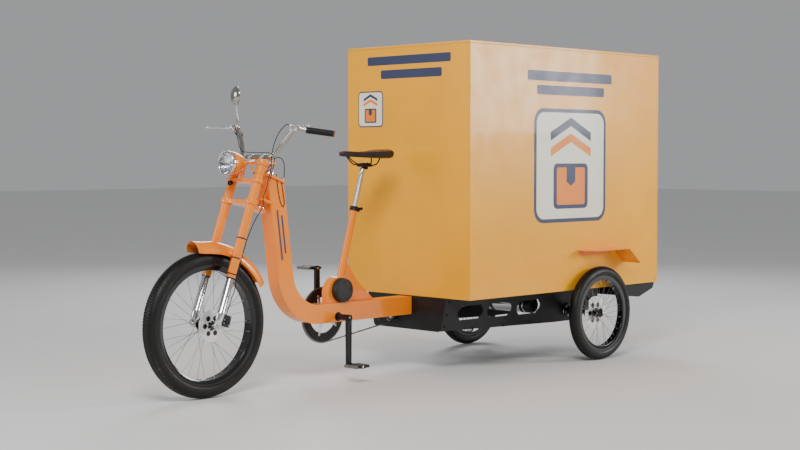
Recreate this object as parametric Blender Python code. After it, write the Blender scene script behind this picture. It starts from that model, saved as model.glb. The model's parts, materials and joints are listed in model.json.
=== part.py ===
"""Cargo tricycle with a closed delivery box: frame, raked fork, three wheels, drive and body.

Metres. +Z is up, the rider looks along -Y and +X is the rider's left. The origin is on the
ground, under the middle of the vehicle's length.
"""
import math

import bmesh
import bpy
from mathutils import Matrix, Vector

# ---------------------------------------------------------------- driving sizes
GAP = 0.0003                    # between pieces that rest against each other
RUN = 0.0006                    # round a shaft that turns or slides

BOX_WIDTH = 0.932
BOX_LENGTH = 1.690
BOX_HEIGHT = 1.365
BOX_CLEARANCE = 0.407           # ground to the underside of the box
PANEL = 0.012                   # thickness of the box panels

FRONT_RADIUS = 0.354            # 26 x 3.0 tyre
FRONT_TYRE = 0.080
FRONT_RIM_SEAT = 0.287
FRONT_RIM_WIDTH = 0.062
REAR_RADIUS = 0.268             # 20 x 2.4 tyre
REAR_TYRE = 0.060
REAR_RIM_SEAT = 0.213
REAR_RIM_WIDTH = 0.046
RIM_DEPTH = 0.022
TYRE_STEPS = 32
SPOKES = 14
SPOKE_RADIUS = 0.0015
HUB_RADIUS = 0.017
FRONT_HUB_WIDTH = 0.118
REAR_HUB_WIDTH = 0.070
FRONT_ROTOR = 0.078
REAR_ROTOR = 0.094
ROTOR_THICKNESS = 0.004

RAKE = math.radians(20)
HEAD_AHEAD = 0.970              # top of the steering axis, ahead of the box
HEAD_HEIGHT = 1.098
FRONT_AXLE_AHEAD = 1.384        # front axle, ahead of the box
REAR_AXLE_BACK = 1.0655         # rear axle, behind the box's front
TYRE_CLEAR = 0.015              # rear tyre to the side of the box
REAR_TRACK = BOX_WIDTH + REAR_TYRE + 2 * TYRE_CLEAR

BEAM_WIDTH = 0.084
BEAM_DEPTH = 0.098
BEAM_WALL = 0.004
BEAM_HEIGHT = 0.355             # middle of the level part
BEAM_CORNER_AHEAD = 0.877       # where the middle lines of post and level part meet
BEAM_LEAN = math.radians(7.5)
BEAM_BEND = 0.230               # radius of the bend, at the middle of the beam

CRANK_AHEAD = 0.550
CRANK_HEIGHT = 0.334
CRANK_LENGTH = 0.244
CRANK_X = 0.1215                # middle of each arm
SPINDLE_RADIUS = 0.0155
CHAIN_X = -0.076
CHAIN_PITCH = 0.0127
RING_TEETH = 72
SPROCKET_TEETH = 16
CHAIN_HEIGHT = 0.0085
CHAIN_WIDTH = 0.0075
SPROCKET_AHEAD = 0.045
SPROCKET_HEIGHT = 0.293

SEAT_LEAN = math.radians(16)
SEAT_FOOT_AHEAD = 0.505
SEAT_TUBE_RADIUS = 0.0185
POST_RADIUS = 0.0136
SADDLE_LENGTH = 0.345
SADDLE_WIDTH = 0.185
SADDLE_HEIGHT = 1.198
SADDLE_NOSE_AHEAD = 0.496

LEG_SPREAD = 0.095              # fork leg to the middle
LEG_RADIUS = 0.0225
SLIDER_RADIUS = LEG_RADIUS - 0.004
FORK_TRAVEL = 0.040
BAR_RADIUS = 0.0115
LAMP_RADIUS = 0.061
LAMP_AHEAD = 1.248
LAMP_HEIGHT = 1.133

CHASSIS_TOP_X = 0.300           # side plates lean in towards the ground
CHASSIS_FOOT_X = 0.252
CHASSIS_SHEET = 0.004
GUARD_REACH = 0.120

TAIL = 0.030                    # latch behind the door
BOX_FRONT = (FRONT_AXLE_AHEAD + FRONT_RADIUS - BOX_LENGTH - TAIL) / 2
BOX_BACK = BOX_FRONT + BOX_LENGTH
BOX_TOP = BOX_CLEARANCE + BOX_HEIGHT
HALF_BOX = BOX_WIDTH / 2
CRANK_Y = BOX_FRONT - CRANK_AHEAD
REAR_AXLE_Y = BOX_FRONT + REAR_AXLE_BACK
FRONT_AXLE_Y = BOX_FRONT - FRONT_AXLE_AHEAD
UP = Vector((0, 0, 1))
ALONG_X = Vector((1, 0, 0))
ALONG_Y = Vector((0, 1, 0))


# ---------------------------------------------------------------- materials
def material(name, colour, roughness, metallic=0.0):
    made = bpy.data.materials.new(name)
    made.use_nodes = True
    shader = made.node_tree.nodes["Principled BSDF"]
    shader.inputs["Base Color"].default_value = (*colour, 1)
    shader.inputs["Roughness"].default_value = roughness
    shader.inputs["Metallic"].default_value = metallic
    return made


for old in list(bpy.data.objects):
    bpy.data.objects.remove(old)

FRAME_PAINT = material("frame_paint", (0.92, 0.33, 0.03), 0.25)
BOX_PAINT = material("box_paint", (0.93, 0.44, 0.06), 0.4)
BLACK_STEEL = material("black_steel", (0.012, 0.012, 0.013), 0.45, 0.4)
RUBBER = material("tyre_rubber", (0.02, 0.02, 0.02), 0.75)
BLACK_RIM = material("black_rim", (0.012, 0.012, 0.013), 0.15, 0.5)
STEEL = material("bright_steel", (0.7, 0.7, 0.7), 0.25, 1.0)
CHROME = material("chrome", (0.85, 0.85, 0.86), 0.08, 1.0)
BLACK_PLASTIC = material("black_plastic", (0.02, 0.02, 0.022), 0.5)
LEATHER = material("saddle_leather", (0.10, 0.035, 0.02), 0.45)
GLASS = material("lamp_glass", (0.85, 0.88, 0.9), 0.05)


# ---------------------------------------------------------------- shapes
def place(bm, matrix):
    bmesh.ops.transform(bm, matrix=matrix, verts=bm.verts)
    return bm


def solid(bm):
    bmesh.ops.recalc_face_normals(bm, faces=bm.faces)
    return bm


def block(low, high):
    """A box between two corners."""
    bm = bmesh.new()
    bmesh.ops.create_cube(bm, size=1)
    size = [h - l for l, h in zip(low, high)]
    middle = [(h + l) / 2 for l, h in zip(low, high)]
    return place(bm, Matrix.Translation(middle) @ Matrix.Diagonal((*size, 1)))


def prism(outline, low, high, axis="X"):
    """An outline pushed along one axis. Its points are the other two axes, in order."""
    def point(pair, depth):
        if axis == "X":
            return (depth, *pair)
        if axis == "Y":
            return (pair[0], depth, pair[1])
        return (*pair, depth)

    bm = bmesh.new()
    face = bm.faces.new([bm.verts.new(point(p, low)) for p in outline])
    pushed = bmesh.ops.extrude_face_region(bm, geom=[face])
    new = [v for v in pushed["geom"] if isinstance(v, bmesh.types.BMVert)]
    step = Vector(point((0, 0), high - low))
    bmesh.ops.translate(bm, verts=new, vec=step)
    return solid(bm)


def band(outer, inner, low, high):
    """A closed loop between two outlines of the same number of (y, z) points, along X."""
    bm = bmesh.new()
    rings = []
    for outline, x in ((outer, low), (outer, high), (inner, high), (inner, low)):
        rings.append([bm.verts.new((x, *p)) for p in outline])
    count = len(outer)
    for one, two in zip(rings, rings[1:] + rings[:1]):
        for i in range(count):
            j = (i + 1) % count
            bm.faces.new((one[i], one[j], two[j], two[i]))
    return solid(bm)


def turned(profile, centre, axis, steps=24, ring=False, phase=0.0):
    """A (radius, height) profile turned about an axis. A ring's profile closes on itself."""
    bm = bmesh.new()
    loops = []
    for radius, height in profile:
        if radius < 1e-6:
            loops.append([bm.verts.new((0, 0, height))])
            continue
        angles = [phase + 2 * math.pi * i / steps for i in range(steps)]
        loops.append([bm.verts.new((radius * math.cos(a), radius * math.sin(a), height))
                      for a in angles])
    pairs = list(zip(loops, loops[1:]))
    if ring:
        pairs.append((loops[-1], loops[0]))
    for one, two in pairs:
        if len(one) == len(two) == 1:
            continue
        for i in range(steps):
            j = (i + 1) % steps
            if len(one) == 1:
                bm.faces.new((one[0], two[j], two[i]))
            elif len(two) == 1:
                bm.faces.new((one[i], one[j], two[0]))
            else:
                bm.faces.new((one[i], one[j], two[j], two[i]))
    turn = Vector(axis).to_track_quat("Z", "Y").to_matrix().to_4x4()
    return solid(place(bm, Matrix.Translation(centre) @ turn))


def rod(start, end, radius, steps=16):
    start, end = Vector(start), Vector(end)
    length = (end - start).length
    return turned([(0, 0), (radius, 0), (radius, length), (0, length)], start, end - start, steps)


def tube(start, end, outer, inner, steps=20):
    start, end = Vector(start), Vector(end)
    length = (end - start).length
    profile = [(inner, 0), (outer, 0), (outer, length), (inner, length)]
    return turned(profile, start, end - start, steps, ring=True)


def swept(path, radius, steps=10):
    """A round bar along a path, its rings carried along without twist."""
    points = [Vector(p) for p in path]
    bm = bmesh.new()
    side = None
    rings = []
    for i, point in enumerate(points):
        ahead = points[min(i + 1, len(points) - 1)] - points[max(i - 1, 0)]
        ahead.normalize()
        side = ahead.orthogonal() if side is None else side - ahead * side.dot(ahead)
        side.normalize()
        other = ahead.cross(side)
        ring = []
        for k in range(steps):
            a = 2 * math.pi * k / steps
            ring.append(bm.verts.new(point + radius * (math.cos(a) * side + math.sin(a) * other)))
        rings.append(ring)
    for one, two in zip(rings, rings[1:]):
        for k in range(steps):
            m = (k + 1) % steps
            bm.faces.new((one[k], one[m], two[m], two[k]))
    bm.faces.new(rings[0])
    bm.faces.new(rings[-1])
    return solid(bm)


def smooth_path(points, steps=4):
    """A smooth curve through points, with a few steps between each two."""
    points = [Vector(p) for p in points]
    padded = [2 * points[0] - points[1]] + points + [2 * points[-1] - points[-2]]
    path = []
    for a, b, c, d in zip(padded, padded[1:], padded[2:], padded[3:]):
        for k in range(steps):
            t = k / steps
            path.append(0.5 * (2 * b + (c - a) * t + (2 * a - 5 * b + 4 * c - d) * t ** 2
                               + (3 * b - a - 3 * c + d) * t ** 3))
    return path + [points[-1]]


def arc(centre, radius, start, end, steps):
    """Points on a circle in a plane, angles in radians."""
    turns = [start + (end - start) * i / steps for i in range(steps + 1)]
    return [(centre[0] + radius * math.cos(a), centre[1] + radius * math.sin(a)) for a in turns]


def loop_round(big, big_radius, small, small_radius, steps=14):
    """The outline of a belt round two wheels, in the (y, z) plane."""
    run = Vector(small) - Vector(big)
    tilt = math.atan2(run.y, run.x)
    lean = math.acos((big_radius - small_radius) / run.length)
    near = arc(big, big_radius, tilt + lean, tilt + 2 * math.pi - lean, steps * 2)
    far = arc(small, small_radius, tilt - lean, tilt + lean, steps // 2)
    return near + far


# ---------------------------------------------------------------- pieces
def piece(name, bm, finish, origin=(0, 0, 0), parent=None, add=(), cut=(), then=(), last=()):
    """An object from a mesh, its origin moved to a joint.

    Shapes are joined (add), cut away (cut), joined again (then) and cut away again (last).
    """
    origin = Vector(origin)
    made = None
    shapes = [(bm, "body")]
    for group, role in ((add, "UNION"), (cut, "DIFFERENCE"), (then, "UNION"), (last, "DIFFERENCE")):
        shapes += [(shape, role) for shape in group]
    for i, (shape, role) in enumerate(shapes):
        place(shape, Matrix.Translation(-origin))
        mesh = bpy.data.meshes.new(name)
        shape.to_mesh(mesh)
        shape.free()
        mesh.shade_smooth()
        mesh.set_sharp_from_angle(angle=math.radians(35))
        label = name if role == "body" else f"{name}_{role.lower()}_{i}"
        new = bpy.data.objects.new(label, mesh)
        bpy.context.scene.collection.objects.link(new)
        new.location = origin
        new.parent = parent
        if role == "body":
            made = new
            mesh.materials.append(finish)
            continue
        new.hide_render = True
        new.display_type = "WIRE"
        tool = made.modifiers.new(label, "BOOLEAN")
        tool.operation = role
        tool.solver = "EXACT"
        tool.object = new
    return made


def pivot(name, point, turn=0.0):
    made = bpy.data.objects.new(name, None)
    made.location = point
    made.rotation_euler.x = turn
    bpy.context.scene.collection.objects.link(made)
    return made


# ---------------------------------------------------------------- wheels
def tyre_profile(radius, width, seat):
    """Cross-section of a tyre: a rounded crown on two short sidewalls."""
    half = width / 2
    rise = radius - seat
    return [(seat, -half * 0.72), (seat + rise * 0.48, -half), (seat + rise * 0.84, -half * 0.76),
            (radius, -half * 0.28), (radius, half * 0.28), (seat + rise * 0.84, half * 0.76),
            (seat + rise * 0.48, half), (seat, half * 0.72)]


def wheel(name, centre, radius, tyre_width, seat, rim_width, hub_width, flange_x, spoke_half,
          rotor, rotor_x, bore):
    """Tyre, laced wheel and brake rotor. flange_x and rotor_x are offsets from the middle."""
    centre = Vector(centre)
    flat = math.pi / TYRE_STEPS
    stretch = 1 / math.cos(flat)
    profile = [(r * stretch, x) for r, x in tyre_profile(radius, tyre_width, seat + GAP)]
    piece(f"{name}_tyre", turned(profile, centre, ALONG_X, TYRE_STEPS, True, flat), RUBBER, centre)

    half = rim_width / 2
    rim = [(seat - RIM_DEPTH, -half * 0.85), (seat, -half), (seat, half), (seat - RIM_DEPTH, half * 0.85)]
    rim = [(r * stretch, x) for r, x in rim]
    hub = tube(centre - ALONG_X * (hub_width / 2) + ALONG_X * flange_x,
               centre + ALONG_X * (hub_width / 2) + ALONG_X * flange_x, HUB_RADIUS, bore, 14)
    spokes = bmesh.new()
    for i in range(SPOKES):
        a = 2 * math.pi * (i + 0.5) / SPOKES
        out = Vector((0, math.cos(a), math.sin(a)))
        side = (1 if i % 2 else -1) * spoke_half + flange_x
        start = centre + out * (HUB_RADIUS - 0.003) + ALONG_X * side
        end = centre + out * (seat - RIM_DEPTH + 0.006) + ALONG_X * 0.004 * (1 if i % 2 else -1)
        spoke = rod(start, end, SPOKE_RADIUS, 4)
        copy = bpy.data.meshes.new("spoke")
        spoke.to_mesh(copy)
        spoke.free()
        spokes.from_mesh(copy)
    piece(f"{name}_wheel", turned(rim, centre, ALONG_X, TYRE_STEPS, True, flat), BLACK_RIM, centre,
          add=(hub, spokes))

    disc = tube(centre + ALONG_X * (rotor_x - ROTOR_THICKNESS / 2),
                centre + ALONG_X * (rotor_x + ROTOR_THICKNESS / 2), rotor, HUB_RADIUS + GAP, 24)
    holes = []
    ring = (rotor + HUB_RADIUS) / 2
    for i in range(6):
        a = 2 * math.pi * i / 6
        at = centre + Vector((rotor_x, ring * math.cos(a), ring * math.sin(a)))
        holes.append(rod(at - ALONG_X * 0.01, at + ALONG_X * 0.01, rotor * 0.17, 6))
    piece(f"{name}_rotor", disc, STEEL, centre, cut=holes)


AXLE_RADIUS = 0.007
wheel("front", (0, FRONT_AXLE_Y, FRONT_RADIUS), FRONT_RADIUS, FRONT_TYRE, FRONT_RIM_SEAT,
      FRONT_RIM_WIDTH, FRONT_HUB_WIDTH, 0, 0.034, FRONT_ROTOR, 0.052, AXLE_RADIUS + RUN)
STUB_RADIUS = 0.009
HUB_INSET = 0.011               # rear hub, inboard of the wheel's middle
ROTOR_INSET = 0.036
for side, way in (("left", 1), ("right", -1)):
    wheel(f"rear_{side}", (way * REAR_TRACK / 2, REAR_AXLE_Y, REAR_RADIUS), REAR_RADIUS, REAR_TYRE,
          REAR_RIM_SEAT, REAR_RIM_WIDTH, REAR_HUB_WIDTH, -way * HUB_INSET, 0.014, REAR_ROTOR,
          -way * ROTOR_INSET, STUB_RADIUS + RUN)

# ---------------------------------------------------------------- steering assembly
# The fork is built in its own upright frame, whose Z is the steering axis, and then raked.
HEAD = Vector((0, BOX_FRONT - HEAD_AHEAD, HEAD_HEIGHT))
steering = pivot("steering_axis", HEAD, -RAKE)
RAKED = Matrix.Translation(HEAD) @ Matrix.Rotation(-RAKE, 4, "X")
TO_FORK = RAKED.inverted()
axle = TO_FORK @ Vector((0, FRONT_AXLE_Y, FRONT_RADIUS))
LEG_Y = axle.y                  # the legs stand straight above the axle
AXLE_Z = axle.z
CROWN_Z = -0.020                # underside of the top crown, at the legs
CROWN = 0.014
LEG_TOP = 0.003
STEERER_TOP = 0.052
LEG_FOOT = -0.598
BRACE_Z = -0.116
CLAMP_Z = -0.224
STEERER_RADIUS = 0.0125
LUG_RADIUS = 0.024

RING_RADIUS = 0.030             # ears round the legs


def web(points, low, high):
    """One half of a yoke plate's outline, mirrored across the middle."""
    return prism(points + [(-x, y) for x, y in points[::-1]], low, high, "Z")


crown = web([(0.060, LEG_Y - 0.022), (LEG_SPREAD, LEG_Y - 0.020), (LEG_SPREAD, LEG_Y + 0.026),
             (0.030, LEG_Y + 0.060), (0.022, 0.018)], CROWN_Z, CROWN_Z + CROWN)
level = Matrix.Translation((0, LEG_Y, CROWN_Z)) @ Matrix.Rotation(RAKE, 4, "X")
place(crown, level @ Matrix.Translation((0, -LEG_Y, -CROWN_Z)))     # the top crown lies level
brace = web([(LEG_SPREAD, LEG_Y - 0.020), (LEG_SPREAD, LEG_Y + 0.020)], BRACE_Z, BRACE_Z + 0.016)
clamp = web([(0.040, LEG_Y - 0.006), (LEG_SPREAD, LEG_Y - 0.020), (LEG_SPREAD, LEG_Y + 0.022),
             (0.036, LEG_Y + 0.046), (0.024, 0.022)], CLAMP_Z, CLAMP_Z + 0.020)
ears = [rod((way * LEG_SPREAD, LEG_Y, low), (way * LEG_SPREAD, LEG_Y, high), RING_RADIUS, 16)
        for way in (1, -1) for low, high in ((CROWN_Z - 0.006, CROWN_Z + CROWN + 0.006),
                                             (BRACE_Z - 0.001, BRACE_Z + 0.017),
                                             (CLAMP_Z - 0.004, CLAMP_Z + 0.024))]
leg_holes = [rod((way * LEG_SPREAD, LEG_Y, CLAMP_Z - 0.02), (way * LEG_SPREAD, LEG_Y, LEG_TOP + 0.02),
                 LEG_RADIUS + GAP, 16) for way in (1, -1)]
tie = prism([(-0.036, LEG_Y - 0.006), (-0.024, LEG_Y - 0.006), (-0.024, LEG_Y + 0.006),
             (-0.036, LEG_Y + 0.006)], BRACE_Z + 0.010, CROWN_Z + 0.004, "Z")
piece("fork_yoke", crown, FRAME_PAINT, parent=steering,
      add=[rod((0, 0, CLAMP_Z + 0.004), (0, 0, STEERER_TOP), STEERER_RADIUS, 16), clamp, brace, tie] + ears,
      cut=leg_holes)

BORE = SLIDER_RADIUS + RUN
LUG_HALF = 0.018
for side, way in (("left", 1), ("right", -1)):
    x = way * LEG_SPREAD
    profile = [(0, LEG_TOP), (LEG_RADIUS, LEG_TOP), (LEG_RADIUS, LEG_FOOT), (BORE, LEG_FOOT),
               (BORE, LEG_TOP - 0.012), (0, LEG_TOP - 0.012)]
    piece(f"fork_leg_{side}", turned(profile, (x, LEG_Y, 0), UP, 16), FRAME_PAINT, parent=steering)

    foot = AXLE_Z + 0.020
    slider = rod((x, LEG_Y, foot), (x, LEG_Y, LEG_FOOT + 0.150), SLIDER_RADIUS, 16)
    lug = block((x - 0.011, LEG_Y - LUG_HALF, AXLE_Z - 0.020), (x + 0.011, LEG_Y + LUG_HALF, foot + 0.020))
    parts = [lug]
    if way > 0:
        parts.append(rod((-LEG_SPREAD + 0.0115, LEG_Y, AXLE_Z), (x, LEG_Y, AXLE_Z), AXLE_RADIUS, 16))
    piece(f"fork_slider_{side}", slider, CHROME, parent=steering, add=parts)

# brake caliper behind the left leg's foot, straddling the rotor
ROTOR_X = 0.052
caliper = block((ROTOR_X - 0.016, LEG_Y + 0.046, AXLE_Z + 0.016),
                (ROTOR_X + 0.020, LEG_Y + 0.090, AXLE_Z + 0.072))
slot = turned([(0, -0.0035), (FRONT_ROTOR + 0.003, -0.0035), (FRONT_ROTOR + 0.003, 0.0035),
               (0, 0.0035)], (ROTOR_X, LEG_Y, AXLE_Z), ALONG_X, 32)
mount = LEG_Y + max(SLIDER_RADIUS, LUG_HALF) + 0.0005
arm = block((ROTOR_X + 0.012, mount, AXLE_Z + 0.024),
            (ROTOR_X + 0.020, LEG_Y + 0.060, AXLE_Z + 0.052))
strap = block((ROTOR_X + 0.012, mount, AXLE_Z + 0.024),
              (LEG_SPREAD + 0.009, mount + 0.0085, AXLE_Z + 0.038))
piece("front_caliper", caliper, BLACK_PLASTIC, parent=steering, add=(arm, strap), cut=(slot,))

# mudguard: an arch swept round the wheel, hung on the left and right legs
GUARD_CROWN = 0.404
GUARD_HALF = 0.054
GUARD_SHEET = 0.003
GUARD_DROP = 0.058


def mudguard():
    """A half-round sheet swept about the front axle, from rear tip to front tip."""
    section = [math.pi * k / 6 for k in range(7)]
    skin = []
    for shrink in (0, GUARD_SHEET):
        half, drop = GUARD_HALF - shrink, GUARD_DROP - shrink
        skin.append([(-half * math.cos(a), GUARD_CROWN - GUARD_DROP + drop * math.sin(a))
                     for a in section])
    outline = skin[0] + skin[1][::-1]
    bm = bmesh.new()
    rings = []
    steps = 10
    for i in range(steps + 1):
        a = math.radians(28 + (101 - 28) * i / steps)
        rings.append([bm.verts.new((x, r * math.cos(a), r * math.sin(a))) for x, r in outline])
    count = len(outline)
    for one, two in zip(rings, rings[1:]):
        for k in range(count):
            m = (k + 1) % count
            bm.faces.new((one[k], one[m], two[m], two[k]))
    bm.faces.new(rings[0])
    bm.faces.new(rings[-1])
    place(bm, TO_FORK @ Matrix.Translation((0, FRONT_AXLE_Y, FRONT_RADIUS)))
    return solid(bm)


STAY_Z = AXLE_Z + GUARD_CROWN - GUARD_DROP + 0.004
stays = []
for way in (1, -1):
    low, high = sorted((way * (GUARD_HALF - 0.0025), way * (LEG_SPREAD - LEG_RADIUS + 0.003)))
    stays.append(block((low, LEG_Y - 0.012, STAY_Z), (high, LEG_Y + 0.012, STAY_Z + 0.012)))
leg_cuts = [rod((way * LEG_SPREAD, LEG_Y, -0.5), (way * LEG_SPREAD, LEG_Y, -0.4),
                LEG_RADIUS + GAP, 16) for way in (1, -1)]
piece("front_mudguard", mudguard(), FRAME_PAINT, parent=steering, add=stays, cut=leg_cuts)

# headlight, level although the fork is raked, on a stem from the brace
LAMP = Vector((0, BOX_FRONT - LAMP_AHEAD, LAMP_HEIGHT))
bowl = [(0, 0.118), (0.016, 0.116), (0.036, 0.092), (0.052, 0.050), (LAMP_RADIUS, 0.012),
        (LAMP_RADIUS, 0.0), (LAMP_RADIUS - 0.004, 0.0), (LAMP_RADIUS - 0.004, 0.012),
        (0.048, 0.050), (0.032, 0.088), (0, 0.104)]
lamp_foot = TO_FORK @ (LAMP + Vector((0, 0.100, -0.020)))
stem = swept([lamp_foot, (0, LEG_Y - 0.028, BRACE_Z + 0.024), (0, LEG_Y - 0.0203, BRACE_Z + 0.008)],
             0.007, 8)
shell = place(turned(bowl, LAMP, ALONG_Y, 18), TO_FORK)
piece("headlight_shell", shell, FRAME_PAINT, parent=steering, add=(stem,),
      cut=(block((-0.05, LEG_Y - 0.020 - GAP, BRACE_Z - 0.05), (0.05, LEG_Y + 0.02, BRACE_Z + 0.016)),))
lens = [(0, -0.010), (0.030, -0.006), (LAMP_RADIUS - 0.0045, 0.001), (LAMP_RADIUS - 0.0045, 0.006),
        (0.030, 0.000), (0, -0.004)]
piece("headlight_lens", place(turned(lens, LAMP, ALONG_Y, 18), TO_FORK), GLASS, parent=steering)

# handlebar: level middle, two risers, grips turned out and back
BAR_HALF = 0.120
BAR_Y = -0.100
BAR_Z = 0.0305


def crown_top(y):
    """Height of the level crown's upper face, along the steering axis."""
    return CROWN_Z + CROWN / math.cos(RAKE) + (y - LEG_Y) * math.tan(RAKE)


GRIP_RADIUS = 0.0160
grip_root = TO_FORK @ Vector((0.2646, BOX_FRONT - 0.965, 1.2925))
grip_tip = TO_FORK @ Vector((0.3560, BOX_FRONT - 0.874, 1.2750))
bend_top = TO_FORK @ Vector((0.2250, BOX_FRONT - 0.998, 1.3020))
bend_mid = TO_FORK @ Vector((0.1660, BOX_FRONT - 1.018, 1.2380))
half_bar = [(0, BAR_Y, BAR_Z), (BAR_HALF * 0.55, BAR_Y, BAR_Z), (BAR_HALF * 0.93, BAR_Y, BAR_Z + 0.006),
            bend_mid, bend_top, grip_root, grip_tip]
half_bar = [Vector(p) for p in half_bar]
mirrored = [Vector((-p.x, p.y, p.z)) for p in half_bar[:0:-1]]
bar_path = smooth_path(mirrored + half_bar, 2)
perches = []
LEVER_PIVOT = TO_FORK @ Vector((0.2300, BOX_FRONT - 1.034, 1.3080))
for way in (1, -1):
    base = Vector((way * bend_top.x, bend_top.y, bend_top.z))
    tip = Vector((way * LEVER_PIVOT.x, LEVER_PIVOT.y, LEVER_PIVOT.z))
    perches.append(rod(base, base.lerp(tip, 0.62), 0.008, 8))
clamp_side = [(BAR_Y - 0.014, crown_top(BAR_Y - 0.014) + GAP), (BAR_Y + 0.014, crown_top(BAR_Y + 0.014) + GAP),
              (BAR_Y + 0.014, BAR_Z + 0.004), (BAR_Y - 0.014, BAR_Z + 0.004)]
saddle_blocks = [prism(clamp_side, way * 0.045 - 0.010, way * 0.045 + 0.010) for way in (1, -1)]
piece("handlebar", swept(bar_path, BAR_RADIUS, 10), CHROME, parent=steering,
      add=perches + saddle_blocks)


def sideways(point, way):
    return Vector((way * point.x, point.y, point.z))


for side, way in (("left", 1), ("right", -1)):
    root, tip = sideways(grip_root, way), sideways(grip_tip, way)
    line = (tip - root).normalized()
    reach = (tip - root).length
    bore = [(BAR_RADIUS * 1.16, 0), (GRIP_RADIUS, 0), (GRIP_RADIUS, reach + 0.010), (0, reach + 0.010),
            (0, reach + 0.004), (BAR_RADIUS * 1.16, reach + 0.004)]
    piece(f"grip_{side}", turned(bore, root, line, 16, ring=True), BLACK_PLASTIC, parent=steering)

    hinge = sideways(LEVER_PIVOT, way)
    blade_way = (TO_FORK.to_3x3() @ Vector((way * 0.985, -0.17, 0.02))).normalized()
    blade = swept([hinge, hinge + blade_way * 0.030, hinge + blade_way * 0.100,
                   hinge + blade_way * 0.160], 0.0055, 8)
    ball = bmesh.new()
    bmesh.ops.create_icosphere(ball, subdivisions=1, radius=0.0095,
                               matrix=Matrix.Translation(hinge + blade_way * 0.162))
    piece(f"brake_lever_{side}", blade, STEEL, hinge, steering, add=(ball,))

# mirror on the right riser, its glass turned to the rider
mirror_foot = TO_FORK @ Vector((-0.222, BOX_FRONT - 1.000, 1.3165))
mirror_knee = TO_FORK @ Vector((-0.217, BOX_FRONT - 1.004, 1.3650))
mirror_neck = TO_FORK @ Vector((-0.223, BOX_FRONT - 1.007, 1.4250))
mirror_centre = TO_FORK @ Vector((-0.225, BOX_FRONT - 1.009, 1.4700))
mirror_way = TO_FORK.to_3x3() @ Vector((0.30, 0.95, 0)).normalized()
bowl = [(0, -0.022), (0.022, -0.019), (0.042, -0.010), (0.052, 0.002), (0.052, 0.006), (0, 0.006)]
piece("mirror", turned(bowl, mirror_centre, mirror_way, 20), CHROME, mirror_foot, steering,
      add=(swept([mirror_foot, mirror_knee, mirror_neck, mirror_neck.lerp(mirror_centre, 0.3)],
                 0.0042, 8),))

# ---------------------------------------------------------------- frame
POST_TOP_Z = -0.047             # beam's top, on the steering axis


def beam_side(offset, steps=8):
    """One side of the beam, at a distance from its middle line; plus is the outer side."""
    corner = Vector((BOX_FRONT - BEAM_CORNER_AHEAD, BEAM_HEIGHT))
    rise = Vector((-math.sin(BEAM_LEAN), math.cos(BEAM_LEAN)))
    tangent = BEAM_BEND * math.tan((math.pi / 2 - BEAM_LEAN) / 2)
    centre = (corner.x + tangent, BEAM_HEIGHT + BEAM_BEND)
    top = corner + rise * 0.80 + Vector((-rise.y, rise.x)) * offset
    bend = arc(centre, BEAM_BEND + offset, math.pi + BEAM_LEAN, 1.5 * math.pi, steps)
    return [tuple(top)] + bend + [(BOX_FRONT - 0.004, BEAM_HEIGHT - offset)]


def fork_box(low, high):
    return place(block(low, high), RAKED)


half = BEAM_DEPTH / 2
outer = beam_side(half) + beam_side(-half)[::-1]
hollow = beam_side(half - BEAM_WALL) + beam_side(-half + BEAM_WALL)[::-1]
behind = [(y + 0.02, z) if y > BOX_FRONT - 0.01 else (y, z) for y, z in hollow]
inner_half = BEAM_WIDTH / 2 - BEAM_WALL
HEAD_TUBE_RADIUS = 0.0215
head_cut = rod(RAKED @ Vector((0, 0, 0.05)), RAKED @ Vector((0, 0, -0.30)), HEAD_TUBE_RADIUS + GAP, 24)
shelf = fork_box((-0.048, -0.040, -0.172), (0.048, 0.030, -0.158))
inner = ALONG_X * (inner_half + 0.001)
CRANK = Vector((0, CRANK_Y, CRANK_HEIGHT))
bracket_shell = rod(CRANK - inner, CRANK + inner, 0.023, 20)
crank_bore = rod(CRANK - ALONG_X * 0.1, CRANK + ALONG_X * 0.1, SPINDLE_RADIUS + RUN, 20)
crown_cut = fork_box((-0.2, -0.3, POST_TOP_Z), (0.2, 0.3, 0.5))
piece("main_beam", prism(outer, -BEAM_WIDTH / 2, BEAM_WIDTH / 2), FRAME_PAINT,
      cut=(prism(behind, -inner_half, inner_half),), then=(bracket_shell, shelf),
      last=(crown_cut, head_cut, crank_bore))

plate = fork_box((-0.052, -0.066, POST_TOP_Z + GAP), (0.052, 0.076, POST_TOP_Z + 0.014))
head_bore = rod(RAKED @ Vector((0, 0, 0.05)), RAKED @ Vector((0, 0, -0.30)), STEERER_RADIUS + RUN, 20)
head_barrel = rod(RAKED @ Vector((0, 0, -0.196)), RAKED @ Vector((0, 0, -0.008)), HEAD_TUBE_RADIUS, 24)
piece("head_tube", head_barrel, FRAME_PAINT, add=(plate,), cut=(head_bore,))

# crank housing: an arched shell on the beam, run back into a gusset behind the seat tube
DECK = BEAM_HEIGHT + BEAM_DEPTH / 2 + GAP
HOUSING_RADIUS = 0.085
HOUSING_HALF = 0.0255
housing_centre = (BOX_FRONT - 0.518, 0.455)
arch = arc(housing_centre, HOUSING_RADIUS, math.pi, 0, 14)
outline = ([(housing_centre[0] - HOUSING_RADIUS, DECK)] + arch
           + [(housing_centre[0] + HOUSING_RADIUS, DECK)])
gusset = prism([(BOX_FRONT - 0.500, DECK), (BOX_FRONT - 0.255, DECK), (BOX_FRONT - 0.462, 0.625),
                (BOX_FRONT - 0.500, 0.560)], -0.006, 0.006)
seat_way = Vector((0, math.sin(SEAT_LEAN), math.cos(SEAT_LEAN)))
seat_foot = Vector((0, BOX_FRONT - SEAT_FOOT_AHEAD, 0.500))
seat_cut = rod(seat_foot - seat_way * 0.012, seat_foot + seat_way * 0.5, SEAT_TUBE_RADIUS + GAP, 20)
piece("crank_housing", prism(outline, -HOUSING_HALF, HOUSING_HALF), FRAME_PAINT,
      add=(gusset,), cut=(seat_cut,))
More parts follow.
